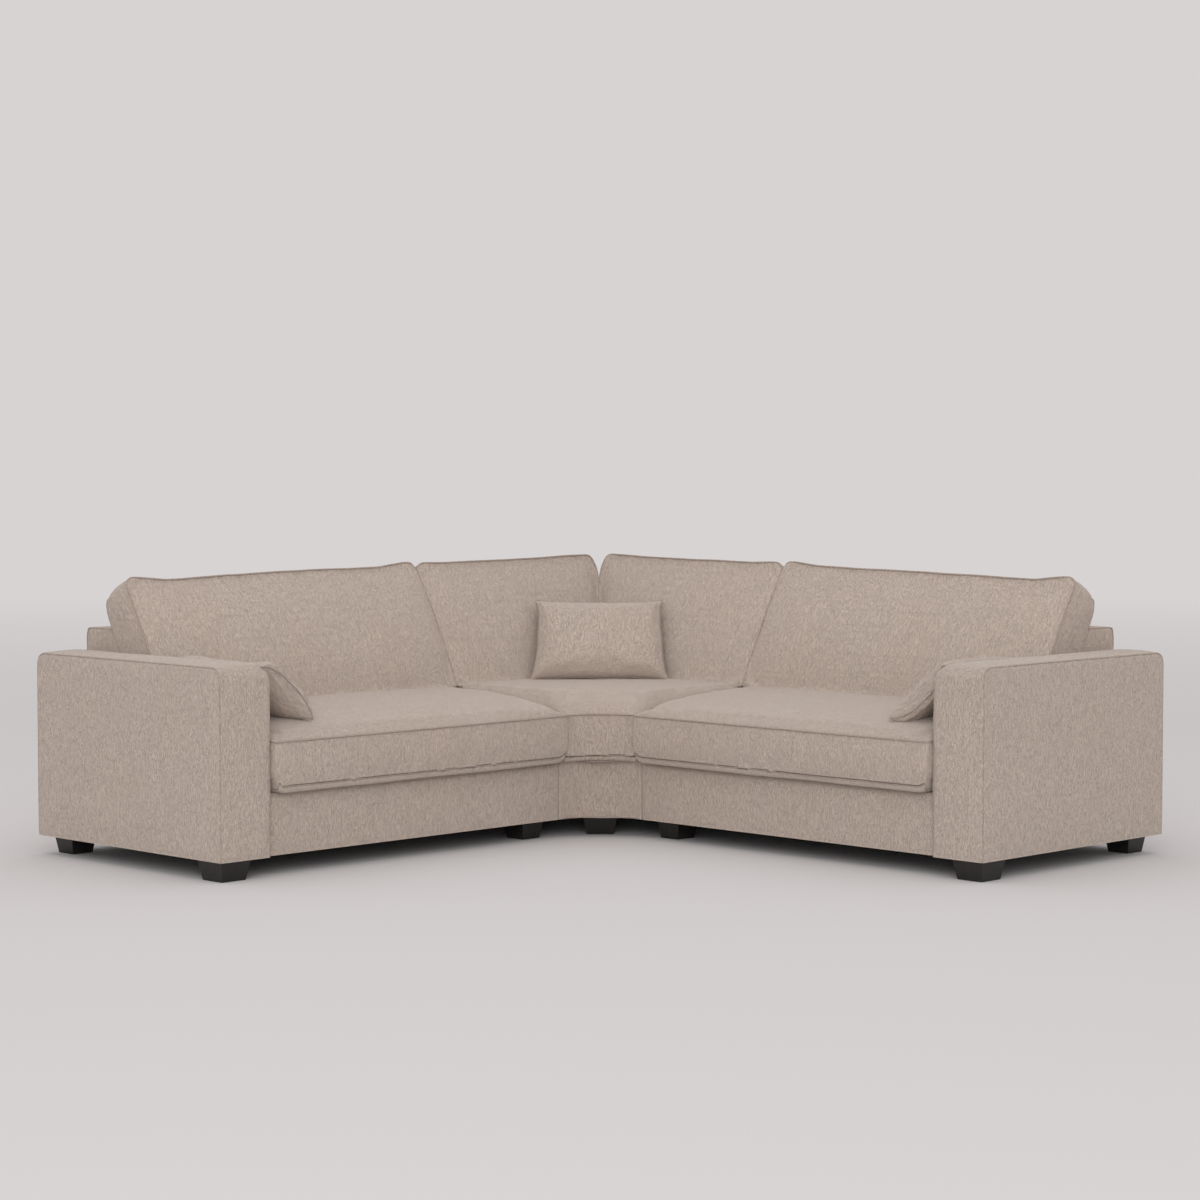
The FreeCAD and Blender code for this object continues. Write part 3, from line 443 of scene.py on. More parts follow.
class Lattice:
    """Surface of a box cut into cells: its points as steps and as shares of the sides, and its faces."""

    def __init__(self, *counts):
        self.counts = counts
        self.number = {}
        steps = []
        self.faces = []
        for axis in range(3):
            first, second = (axis + 1) % 3, (axis + 2) % 3
            for end in (0, counts[axis]):
                for i in range(counts[first]):
                    for j in range(counts[second]):
                        corners = []
                        for across, along in ((0, 0), (1, 0), (1, 1), (0, 1)):
                            step = [0, 0, 0]
                            step[axis], step[first], step[second] = end, i + across, j + along
                            corners.append(self.point(tuple(step), steps))
                        self.faces.append(corners)
        self.steps = np.array(steps)
        self.shares = self.steps / np.array(counts)

    def point(self, step, steps):
        if step not in self.number:
            self.number[step] = len(steps)
            steps.append(step)
        return self.number[step]

    def trail(self, *stops):
        """Points along straight runs between corners, given as 0 or 1 on each side."""
        found = []
        corners = [tuple(end * count for end, count in zip(stop, self.counts)) for stop in stops]
        for start, end in zip(corners, corners[1:]):
            length = max(abs(b - a) for a, b in zip(start, end))
            for i in range(length):
                found.append(self.number[tuple(a + (b - a) * i // length for a, b in zip(start, end))])
        found.append(self.number[corners[-1]])
        return found

    def rim(self, axis, end):
        """Points of the closed seam round the face at one end of an axis."""
        stops = []
        for across, along in ((0, 0), (1, 0), (1, 1), (0, 1), (0, 0)):
            stop = [0, 0, 0]
            stop[axis], stop[(axis + 1) % 3], stop[(axis + 2) % 3] = end, across, along
            stops.append(tuple(stop))
        return self.trail(*stops)[:-1]


def crowd(share, amount=CROWD):
    """Moves steps towards both ends, where edges are rounded."""
    return share - amount * np.sin(2 * math.pi * share) / (2 * math.pi)


def cells(*lengths):
    return [max(3, round(length / STEP)) for length in lengths]


def round_edge(p, q, p_edge, q_edge, p_side, q_side, radius):
    """Rounds the edge at p_edge, q_edge. A side is 1 where the edge is an upper end, and else -1."""
    across = (p - p_edge) * p_side + radius
    along = (q - q_edge) * q_side + radius
    near = (across > 0) & (along > 0)
    pull = np.maximum(across, along) / np.maximum(np.hypot(across, along), TINY)
    share = np.where(near, pull, 1.0) - 1.0
    return p + across * share * p_side, q + along * share * q_side


def edge_distance(p, q, p_span, q_span):
    """Distances to the near ends of two spans."""
    return np.minimum(p - p_span[0], p_span[1] - p), np.minimum(q - q_span[0], q_span[1] - q)


def dome(distance, reach):
    """Rises from 0 at an edge to 1 at reach from it, like a quarter of an ellipse."""
    share = np.clip(1 - distance / reach, 0, 1)
    return np.sqrt(1 - share * share)


def wander(points, size, seed):
    """Smooth seeded noise at each point, between about -1 and 1."""
    shift = Vector([seed * step for step in SEED_STEP])
    return np.array([noise.noise(Vector(point) / size + shift) for point in points])


def add_piece(name, points, faces, material):
    mesh = bpy.data.meshes.new(name)
    mesh.from_pydata(points.tolist(), [], faces)
    mesh.materials.append(material)
    mesh.validate()
    piece = bpy.data.objects.new(name, mesh)
    scene.collection.objects.link(piece)
    turn_outwards(mesh)
    mesh.shade_smooth()
    return piece


def turn_outwards(mesh):
    """Flips all faces of a closed mesh if they face inwards."""
    volume = 0.0
    for polygon in mesh.polygons:
        volume += polygon.center.dot(polygon.normal) * polygon.area
    if volume < 0:
        mesh.flip_normals()


def points_of(piece):
    flat = np.zeros(len(piece.data.vertices) * 3)
    piece.data.vertices.foreach_get("co", flat)
    return flat.reshape(-1, 3)


def normals_of(piece):
    flat = np.zeros(len(piece.data.vertices) * 3)
    piece.data.vertices.foreach_get("normal", flat)
    return flat.reshape(-1, 3)


def set_points(piece, points):
    piece.data.vertices.foreach_set("co", points.astype(float).ravel())
    piece.data.update()


def ruffle(piece, seed, waves):
    """Moves the surface in and out by smooth waves, each a height and a size."""
    points = points_of(piece)
    lift = sum(height * wander(points, size, seed + size) for height, size in waves)
    set_points(piece, points + normals_of(piece) * lift[:, None])


def smooth_path(path, closed, rounds=3):
    for _ in range(rounds):
        before, after = np.roll(path, 1, 0), np.roll(path, -1, 0)
        eased = (before + path * 2 + after) / 4
        if not closed:
            eased[0], eased[-1] = path[0], path[-1]
        path = eased
    return path


def tube(name, path, radius, material, closed):
    """Round cord sewn along a path that lies near one plane."""
    path = smooth_path(path, closed)
    if closed:
        ahead = np.roll(path, -1, 0) - np.roll(path, 1, 0)
    else:
        ahead = np.gradient(path, axis=0)
    ahead /= np.linalg.norm(ahead, axis=1)[:, None]
    spokes = path - path.mean(0)
    plane = np.cross(spokes, np.roll(spokes, -1, 0)).sum(0)
    plane /= np.linalg.norm(plane)
    across = np.cross(ahead, plane)
    across /= np.linalg.norm(across, axis=1)[:, None]
    up = np.cross(across, ahead)
    turns = [math.tau * side / TUBE_SIDES for side in range(TUBE_SIDES)]
    rings = [path + radius * (across * math.cos(turn) + up * math.sin(turn)) for turn in turns]
    points = np.stack(rings, 1).reshape(-1, 3)
    faces = []
    count = len(path)
    for i in range(count if closed else count - 1):
        here, there = i * TUBE_SIDES, (i + 1) % count * TUBE_SIDES
        for side in range(TUBE_SIDES):
            other = (side + 1) % TUBE_SIDES
            faces.append([here + side, there + side, there + other, here + other])
    if not closed:
        faces.append(list(range(TUBE_SIDES)))
        faces.append([(count - 1) * TUBE_SIDES + side for side in reversed(range(TUBE_SIDES))])
    return add_piece(name, points, faces, material)


def sew(piece, name, trail, radius, material, closed, proud=PROUD):
    """Piping along a piece's seam, its middle proud of the surface by a share of its radius."""
    path = points_of(piece)[trail] + normals_of(piece)[trail] * radius * proud
    return tube(name, path, radius, material, closed)


def soften(piece):
    smooth = piece.modifiers.new("smooth", "SUBSURF")
    smooth.levels = 1
    smooth.render_levels = 1


def dress(piece, body):
    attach(piece, body)


# Fitted covers of arms, backs and bases


def pull_in(piece, trails, depth):
    """Draws the cloth in along its seams."""
    points, normals = points_of(piece), normals_of(piece)
    for trail in trails:
        points[trail] -= normals[trail] * depth
    set_points(piece, points)


def finish_cover(piece, node, trails, seed):
    """Rests a cover on the frame, with its seams."""
    ruffle(piece, seed, COVER_WAVES)
    pull_in(piece, trails, SEAM_DEPTH)
    for index, trail in enumerate(trails):
        seam = sew(piece, "%s_seam_%d" % (node, index + 1), trail, SEAM_RIDGE, shaded_piping_weave, False)
        dress(seam, "sofa_frame")
    soften(piece)
    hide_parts(node)
    dress(piece, "sofa_frame")


def make_arm_cover(wing, place, seed):
    (u0, u1), (w0, w1), (z0, z1) = spans("rear_arm_cover")
    form = Lattice(*cells(u1 - u0, w1 - w0, z1 - z0))
    a, b, c = form.shares.T
    u = u0 + (u1 - u0) * crowd(a)
    w = w0 + (w1 - w0) * crowd(b, ARM_CROWD)
    z = z0 + (z1 - z0) * c
    # The flat bottom turns inwards over the frame, above the dust cover
    inside = (c == 0) & (a > 0) & (a < 1) & (b > 0) & (b < 1)
    z = np.where(inside, z0 + BOTTOM_TURN, z)
    for edge, side in ((w0, -1), (w1, 1)):
        w, z = round_edge(w, z, edge, z1, side, 1, ARM_END_ROUND)
        u, w = round_edge(u, w, u0, edge, -1, side, ARM_UPRIGHT_ROUND)
        u, w = round_edge(u, w, u1, edge, 1, side, ARM_OUTER_ROUND)
    reach = np.maximum(np.maximum(w0 + ARM_END_ROUND - w, w - (w1 - ARM_END_ROUND)), 0)
    reach = np.minimum(reach, ARM_END_ROUND)
    inset = ARM_END_ROUND - np.sqrt(np.maximum(ARM_END_ROUND ** 2 - reach ** 2, 0))
    top = z1 - inset
    inner = u0 + inset * ARM_UPRIGHT_ROUND / ARM_END_ROUND
    u, z = round_edge(u, z, inner, top, -1, 1, ARM_INNER_ROUND - inset)
    u, z = round_edge(u, z, u1, top, 1, 1, ARM_OUTER_ROUND)
    # Padding lifts the panels between their seams
    across = np.sin(math.pi * np.clip((u - u0) / (u1 - u0), 0, 1))
    along = np.minimum(w - w0, w1 - w)
    z = z + np.where(c == 1, ARM_TOP_SWELL * across * dome(along, ARM_TOP_REACH), 0)
    up = np.minimum(z - z0, z1 - z)
    u = u + np.where(a == 1, ARM_SIDE_SWELL * dome(along, ARM_SIDE_REACH) * dome(up, ARM_SIDE_REACH), 0)
    w = w + np.where(b == 1, ARM_FRONT_SWELL * across * dome(up, ARM_FRONT_REACH), 0)
    piece = add_piece(wing + "_arm_upholstery", place(u, w, z), form.faces, body_weave)
    outer = form.trail((1, 0, 0), (1, 0, 1), (1, 1, 1), (1, 1, 0))
    inner = form.trail((0, 0, 0), (0, 0, 1), (0, 1, 1), (0, 1, 0))
    finish_cover(piece, wing + "_arm_cover", [outer, inner], seed)


def leaning_face(height):
    """Depth of a back's leaning inner face, carried on above its top."""
    top = spans("rear_back_cover")[2][1]
    return COVER_TOP_DEPTH + (top - height) * BACK_LEAN


def back_form(b, c):
    """Depth and height on a back's section: b runs from its outer to its inner face, c upwards."""
    _, (w0, w1), (z0, z1) = spans("rear_back_cover")
    z = z0 + (z1 - z0) * c
    inner = np.where(z < DECK, COVER_FOOT_DEPTH, np.minimum(leaning_face(z), w1))
    w = w0 + (inner - w0) * b
    w, z = round_edge(w, z, w0, z1, -1, 1, COVER_TOP_ROUND)
    w, z = round_edge(w, z, COVER_TOP_DEPTH, z1, 1, 1, COVER_TOP_ROUND)
    return w, z


def outer_swell(u, z, u_span, z_span):
    """How far its padding lifts a back's outer panel."""
    ends, edges = edge_distance(u, z, u_span, z_span)
    return COVER_SWELL * dome(ends, COVER_END_REACH) * dome(edges, COVER_EDGE_REACH)


def make_back_cover(wing, place, seed):
    (u0, u1), _, (z0, z1) = spans("rear_back_cover")
    form = Lattice(*cells(u1 - u0, COVER_SECTION, z1 - z0))
    a, b, c = form.shares.T
    u = u0 + (u1 - u0) * crowd(a, COVER_CROWD)
    w, z = back_form(crowd(b), c)
    u, z = round_edge(u, z, u1, z1, 1, 1, COVER_END_ROUND)
    w = w - np.where(b == 0, outer_swell(u, z, (u0, u1), (z0, z1)), 0)
    piece = add_piece(wing + "_back_upholstery", place(u, w, z), form.faces, body_weave)
    near = form.trail((1, 0, 0), (1, 0, 1), (1, 1, 1), (1, 1, 0))
    far = form.trail((0, 0, 0), (0, 0, 1), (1, 0, 1))
    finish_cover(piece, wing + "_back_cover", [near, far], seed)


def make_corner_back_cover(wing, place, seed):
    (_, u1), _, (z0, z1) = spans("corner_rear_back_cover")
    form = Lattice(*cells(u1, COVER_SECTION, z1 - z0))
    a, b, c = form.shares.T
    w, z = back_form(crowd(b), c)
    u = w + (u1 - w) * a
    w = w - np.where(b == 0, outer_swell(u, z, (0, u1), (z0, z1)), 0)
    piece = add_piece("corner_%s_back_upholstery" % wing, place(u, w, z), form.faces, body_weave)
    top = form.trail((0, 0, 1), (1, 0, 1))
    end = form.trail((1, 0, 0), (1, 0, 1), (1, 1, 1))
    finish_cover(piece, "corner_%s_back_cover" % wing, [top, end], seed)


def make_base_cover(wing, place, seed):
    (u0, u1), (w0, w1), (z0, z1) = spans("rear_base_cover")
    form = Lattice(*cells(u1 - u0, w1 - w0, z1 - z0))
    a, b, c = form.shares.T
    u = u0 + (u1 - u0) * crowd(a, COVER_CROWD)
    w = w0 + (w1 - w0) * crowd(b, COVER_CROWD)
    z = z0 + (z1 - z0) * c
    inside = (c == 0) & (b > 0) & (b < 1)
    z = np.where(inside, z0 + BOTTOM_TURN, z)
    w, z = round_edge(w, z, w1, z1, 1, 1, BASE_FRONT_ROUND)
    for edge, side in ((u0, -1), (u1, 1)):
        u, w = round_edge(u, w, edge, w1, side, 1, BASE_END_ROUND)
    ends = np.minimum(u - u0, u1 - u)
    w = w + np.where(b == 1, BASE_SWELL * dome(ends, BASE_REACH) * np.sin(math.pi * c), 0)
    piece = add_piece(wing + "_base_upholstery", place(u, w, z), form.faces, body_weave)
    finish_cover(piece, wing + "_base_cover", [], seed)


def cove_plan(s, t, low, high, radius, corner):
    """Plan of a square with a coved outer corner, as p and q for shares s and t of its sides.

    The square runs from low to high, and the cove has its centre at corner on both axes."""
    reach = math.sqrt(max(radius ** 2 - (corner - high) ** 2, 0.0))
    start = corner - reach
    turn = math.atan2(corner - high, reach)

    def far_side(share):
        """The side at high, then half of the cove."""
        straight = (start - low) / (high - low)
        bend = np.clip((share - straight) / (1 - straight), 0, 1)
        angle = turn + bend * (math.pi / 4 - turn)
        on_cove = share > straight
        p = np.where(on_cove, corner - radius * np.sin(angle), high)
        q = np.where(on_cove, corner - radius * np.cos(angle), low + (high - low) * share)
        return p, q

    right_p, right_q = far_side(t)
    upper_q, upper_p = far_side(s)
    tip = corner - radius * math.sqrt(0.5)
    line_s, line_t = low + (high - low) * s, low + (high - low) * t
    flat_p = (1 - s) * (1 - t) * low + s * (1 - t) * high + (1 - s) * t * low + s * t * tip
    flat_q = (1 - s) * (1 - t) * low + s * (1 - t) * low + (1 - s) * t * high + s * t * tip
    p = (1 - t) * line_s + t * upper_p + (1 - s) * low + s * right_p - flat_p
    q = (1 - t) * low + t * upper_q + (1 - s) * line_t + s * right_q - flat_q
    return p, q


def make_corner_base_cover(seed):
    (low, high), _, (z0, z1) = spans("corner_base_cover")
    front = spans("rear_base_cover")[1][1]
    form = Lattice(*cells(high - low, high - low, z1 - z0))
    a, b, c = form.shares.T
    p, q = cove_plan(crowd(a), crowd(b), low, high, high - front, high)
    z = z0 + (z1 - z0) * c
    inside = (c == 0) & (a > 0) & (a < 1) & (b > 0) & (b < 1)
    z = np.where(inside, z0 + BOTTOM_TURN, z)
    piece = add_piece("corner_base_upholstery", rear_place(p, q, z), form.faces, body_weave)
    finish_cover(piece, "corner_base_cover", [], seed)


# Cushions: formed first, then filled out as cloth, then sewn

soft_pieces = []


def stuff(piece, node, held, spare, cap, seams, fill, fit=None):
    """Puts a soft piece down for the cloth simulation, with spare as its share of extra cloth.

    Held points stay, and the others move by cap at most. Each seam has a name, points, a radius and the
    share of it that its middle stands proud."""
    soft_pieces.append({
        "piece": piece, "node": node, "held": held, "spare": spare, "cap": cap,
        "seams": seams, "fill": fill, "fit": fit,
    })


def add_cloth(piece, held, spare):
    group = piece.vertex_groups.new(name="held")
    group.add([int(index) for index in np.flatnonzero(held)], 1.0, "REPLACE")
    cloth_modifier = piece.modifiers.new("cloth", "CLOTH")
    settings = cloth_modifier.settings
    settings.quality = 5
    settings.mass = 0.3
    settings.tension_stiffness = 15
    settings.compression_stiffness = 15
    settings.shear_stiffness = 5
    settings.bending_stiffness = 0.5
    settings.shrink_min = -spare
    settings.use_pressure = True
    settings.uniform_pressure_force = CLOTH_PRESSURE
    settings.effector_weights.gravity = 0
    settings.vertex_group_mass = "held"
    cloth_modifier.collision_settings.use_collision = False
    cloth_modifier.point_cache.frame_start = 1
    cloth_modifier.point_cache.frame_end = CLOTH_FRAMES


def blow_up():
    """Runs the cloth of all soft pieces together and keeps the result in their meshes."""
    for soft in soft_pieces:
        add_cloth(soft["piece"], soft["held"], soft["spare"])
    for frame_number in range(1, CLOTH_FRAMES + 1):
        scene.frame_set(frame_number)
    graph = bpy.context.evaluated_depsgraph_get()
    for soft in soft_pieces:
        soft["blown"] = points_of(soft["piece"].evaluated_get(graph))
    for soft in soft_pieces:
        piece = soft["piece"]
        piece.modifiers.remove(piece.modifiers["cloth"])
        piece.vertex_groups.clear()
        start = points_of(piece)
        move = soft["blown"] - start
        length = np.maximum(np.linalg.norm(move, axis=1), TINY)
        cap = soft["cap"]
        share = cap * np.tanh(length / cap) / length
        set_points(piece, start + move * share[:, None])
    scene.frame_set(1)


def finish_soft_pieces():
    """Fits, sews and dresses each soft piece in place of its node."""
    for soft in soft_pieces:
        piece, node = soft["piece"], soft["node"]
        if soft["fit"]:
            soft["fit"](piece)
        pieces = [piece]
        for name, trail, radius, proud in soft["seams"]:
            pieces.append(sew(piece, "%s_%s" % (node, name), trail, radius, shaded_piping_weave, True, proud))
        soften(piece)
        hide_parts(node)
        for each in pieces:
            dress(each, node + "_body")


def boxed_hold(form):
    """Points of a boxed cushion that stay: the sheet at c = 0, the seams and three boxings."""
    a, b, c = form.shares.T
    rim = (a == 0) | (a == 1) | (b == 0) | (b == 1)
    return (c == 0) | ((c == 1) & rim) | (a == 0) | (a == 1) | (b == 0)


def boxed_caps(form):
    """How far the cloth may move each point of a boxed cushion."""
    return np.where(form.shares[:, 2] == 1, TOP_CAP, SIDE_CAP)


def finish_seat(piece, form, node, held, seed):
    """Ripples a seat cushion and puts it down with its pipings."""
    ruffle(piece, seed, SEAT_WAVES)
    seams = [
        ("top_piping", form.rim(2, 1), PIPING, PROUD),
        ("low_piping", form.rim(2, 0), LOW_PIPING, LOW_PROUD),
    ]
    stuff(piece, node, held, SPARE_CLOTH, boxed_caps(form), seams, SEAT_FILL)


def make_wing_seat_cushion(wing, place, seed):
    (u0, u1), (w0, w1), (z0, _) = spans("rear_seat_cushion")
    form = Lattice(*cells(u1 - u0, w1 - w0, SEAT_HIGH_SEAM - SEAT_LOW_SEAM))
    a, b, c = form.shares.T
    # The points next to the low front seam make a hem under it
    hem = (c == 0) & (form.steps[:, 1] == form.counts[1] - 1)
    u = u0 + (u1 - u0) * crowd(a)
    w = w0 + (w1 - w0) * crowd(b)
    w = np.where(hem, w1 - SEAT_HEM, w)
    z = SEAT_LOW_SEAM + (SEAT_HIGH_SEAM - SEAT_LOW_SEAM) * c
    for u_edge, u_side in ((u0, -1), (u1, 1)):
        u, z = round_edge(u, z, u_edge, SEAT_HIGH_SEAM, u_side, 1, SEAT_TOP_ROUND)
        u, z = round_edge(u, z, u_edge, SEAT_LOW_SEAM, u_side, -1, SEAT_LOW_ROUND)
        for w_edge, w_side in ((w0, -1), (w1, 1)):
            u, w = round_edge(u, w, u_edge, w_edge, u_side, w_side, SEAT_CORNER_ROUND)
    ends, sides = edge_distance(u, w, (u0, u1), (w0, w1))
    forward = np.clip((w - SEAT_REST) / (w1 - SEAT_REST), 0, 1)
    middle = np.sqrt(np.clip(np.sin(math.pi * (u - u0) / (u1 - u0)), 0, 1))
    reach = np.interp(w, *SEAT_JOINT_REACH)
    lift = SEAT_CROWN * np.sqrt(1 - forward ** 2) * dome(ends, reach) * dome(w - w0, SEAT_REAR_ROUND)
    lift = lift * (1 - SEAT_END_DROP / SEAT_CROWN * (1 - middle))
    z = z + np.where(c == 1, lift, 0)
    sag = (SEAT_LOW_SEAM - z0) * dome(np.minimum(ends, sides), SEAT_UNDER_ROUND)
    sag = np.where(hem, (SEAT_LOW_SEAM - z0 - SEAT_HEM) * dome(ends, SEAT_UNDER_ROUND), sag)
    z = z - np.where(c == 0, sag, 0)
    w = w + np.where(b == 1, SEAT_FRONT_BULGE * np.sin(math.pi * c) - SEAT_FRONT_INSET, 0)
    piece = add_piece(wing + "_seat_pad", place(u, w, z), form.faces, body_weave)
    finish_seat(piece, form, wing + "_seat_cushion", boxed_hold(form), seed)


def make_corner_seat_cushion(seed):
    (low, high), _, (z0, z1) = spans("corner_seat_cushion")
    front = spans("rear_seat_cushion")[1][1]
    corner = spans("corner_base_cover")[0][1]
    radius = corner - front + SEAT_RECESS
    form = Lattice(*cells(high - low, high - low, SEAT_HIGH_SEAM - SEAT_LOW_SEAM))
    a, b, c = form.shares.T
    p, q = cove_plan(crowd(a), crowd(b), low, high, radius, corner)
    z = SEAT_LOW_SEAM + (SEAT_HIGH_SEAM - SEAT_LOW_SEAM) * c
    # Rings of points keep their distance from the cove, and the first one makes a hem under the low seam
    ring = np.minimum(form.counts[0] - form.steps[:, 0], form.counts[1] - form.steps[:, 1])
    away = np.hypot(p - corner, q - corner)
    hem = (c == 0) & (ring == 1) & (away < radius + 2 * STEP)
    spaced = np.where((c == 0) | (c == 1), np.maximum(away, radius + RING_STEP * ring), away)
    spaced = np.where(hem, radius + SEAT_HEM / 2, spaced)
    p, q = corner - (corner - p) * spaced / away, corner - (corner - q) * spaced / away
    cove = np.hypot(p - corner, q - corner) - radius
    joints = high - np.maximum(p, q)
    turn_in = np.clip(SEAT_CORNER_ROUND - joints, 0, None) * np.clip(1 - cove / SEAT_CORNER_ROUND, 0, 1)
    p, q = np.where(p > q, p, p - turn_in), np.where(p > q, q - turn_in, q)
    backs = np.minimum(p, q) - low
    # The crown falls to each kind of edge like a dome, and the falls run into each other
    joint_reach = np.interp(np.minimum(p, q), *SEAT_JOINT_REACH)
    fall = np.zeros(len(p))
    for distance, reach in ((cove, SEAT_COVE_REACH), (joints, joint_reach), (backs, SEAT_REAR_ROUND)):
        fall += np.clip(1 - distance / reach, 0, 1) ** CROWN_BLEND
    height = np.sqrt(1 - np.minimum(fall, 1) ** (2 / CROWN_BLEND))
    z = z + np.where(c == 1, (z1 - SEAT_HIGH_SEAM) * height, 0)
    sag = (SEAT_LOW_SEAM - z0) * dome(np.minimum(cove, np.minimum(joints, backs)), SEAT_UNDER_ROUND)
    sag = np.where(hem, SEAT_LOW_SEAM - z0 - SEAT_HEM, sag)
    z = z - np.where(c == 0, sag, 0)
    piece = add_piece("corner_seat_pad", rear_place(p, q, z), form.faces, body_weave)
    held = (c == 0) | (a == 0) | (b == 0) | ((c == 1) & ((a == 1) | (b == 1))) | (joints < AT_JOINT)
    finish_seat(piece, form, "corner_seat_cushion", held, seed)


def back_cushion_section(y, t, height):
    """Depth and height for a place y up the lean and t out from the back, with a level bottom."""
    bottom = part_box("rear_back_cushion")[0].z
    shear = -BACK_LEAN * t * (1 - y / height)
    w = leaning_face(bottom) + SOFT_GAP * LEAN_FACTOR + (t - BACK_LEAN * (y + shear)) / LEAN_FACTOR
    z = bottom + (y + shear + BACK_LEAN * t) / LEAN_FACTOR
    return w, z


def shape_back(form, length, swell, nose, top_line):
    """Places along, up and out of a boxed back cushion, and its height up the lean.

    Its top corner at the start is rounded by an ellipse, the nose, and the other one by a circle."""
    a, b, c = form.shares.T
    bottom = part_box("rear_back_cushion")[0].z
    height = (BACK_TOP - bottom) * LEAN_FACTOR
    x = length * crowd(a, LONG_CROWD)
    y = height * crowd(b)
    full = np.clip(1 - np.abs(2 * a - 1) ** FULL_POWER, 0, 1) ** FULL_ROOT
    shares, rises = np.array(top_line).T
    rise = np.interp(x / length, shares, rises) * LEAN_FACTOR * (y / height) ** 2
    t = c * BACK_THICKNESS
    t, y = round_edge(t, y, 0.0, height, -1, 1, REAR_ROUND)
    x, y = round_edge(x, y, length, height, 1, 1, TOP_CORNER_ROUND)
    squeeze = nose[0] / nose[1]
    x, y = round_edge(x, y * squeeze, 0.0, height * squeeze, -1, 1, nose[0])
    y = y / squeeze
    for edge, side in ((0.0, -1), (length, 1)):
        x, y = round_edge(x, y, edge, 0.0, side, -1, LOW_CORNER_ROUND)
    up = np.clip(y / height, 0, 1)
    t = t * (1 - END_DRAW * (1 - full) / BACK_THICKNESS)
    t = t + np.where(c == 1, (END_SWELL + (swell - END_SWELL) * full) * 4 * up * (1 - up), 0)
    y = y + rise + np.where(b == 1, TOP_BULGE * np.sin(math.pi * c), 0)
    return x, y, t, height


def finish_back(piece, form, node, seed):
    """Ripples a back cushion and puts it down with its pipings."""
    ruffle(piece, seed, BACK_WAVES)
    seams = [
        ("front_piping", form.rim(2, 1), PIPING, PROUD),
        ("rear_piping", form.rim(2, 0), PIPING, PROUD),
    ]
    stuff(piece, node, boxed_hold(form), SPARE_CLOTH, boxed_caps(form), seams, BACK_FILL)


def make_wing_back_cushion(wing, place, seed):
    (u0, u1), _, _ = spans("rear_back_cushion")
    form = Lattice(*cells(u1 - u0, CUSHION_SECTION, BACK_THICKNESS))
    nose = (TOP_CORNER_ROUND, TOP_CORNER_ROUND)
    x, y, t, height = shape_back(form, u1 - u0, BACK_SWELL, nose, WING_TOP_LINE)
    # Above the arm the end bulges
    a, b, c = form.shares.T
    bulge = END_BULGE * np.sin(math.pi * c) * np.sin(math.pi * np.clip(2 * b - 1, 0, 1))
    x = x + np.where(a == 1, bulge, 0)
    w, z = back_cushion_section(y, t, height)
    piece = add_piece(wing + "_back_pad", place(u0 + x, w, z), form.faces, leaning_weaves[wing])
    finish_back(piece, form, wing + "_back_cushion", seed)


def make_corner_back_cushion(wing, place, seed):
    (_, u1), _, _ = spans("corner_rear_back_cushion")
    length = u1 - CORNER_START
    form = Lattice(*cells(length, CUSHION_SECTION, BACK_THICKNESS))
    x, y, t, height = shape_back(form, length, CORNER_SWELL, (NOSE_WIDE, NOSE_TALL), CORNER_TOP_LINE)
    w, z = back_cushion_section(y, t, height)
    # The end at the corner follows the mitre between the two backs
    start = w + MITRE_GAP
    u = start + (u1 - start) * x / length
    piece = add_piece("corner_%s_back_pad" % wing, place(u, w, z), form.faces, leaning_weaves[wing])
    finish_back(piece, form, "corner_%s_back_cushion" % wing, seed)


# Knife-edged pillows


def sewn_pair(across, along):
    """Two sheets that share their rim: places from -1 to 1, each with its sheet, faces and rim."""
    number, places, faces = {}, [], []

    def point(i, j, side):
        on_rim = i in (0, across) or j in (0, along)
        key = (i, j, 0 if on_rim else side)
        if key not in number:
            number[key] = len(places)
            places.append((2 * i / across - 1, 2 * j / along - 1, key[2]))
        return number[key]

    for side in (1, -1):
        for i in range(across):
            for j in range(along):
                steps = ((i, j), (i + 1, j), (i + 1, j + 1), (i, j + 1))
                faces.append([point(*step, side) for step in steps])
                if side < 0:
                    faces[-1].reverse()
    round_trip = [(i, 0) for i in range(across)] + [(across, j) for j in range(along)]
    round_trip += [(i, along) for i in range(across, 0, -1)] + [(0, j) for j in range(along, 0, -1)]
    return np.array(places), faces, [number[(i, j, 0)] for i, j in round_trip]


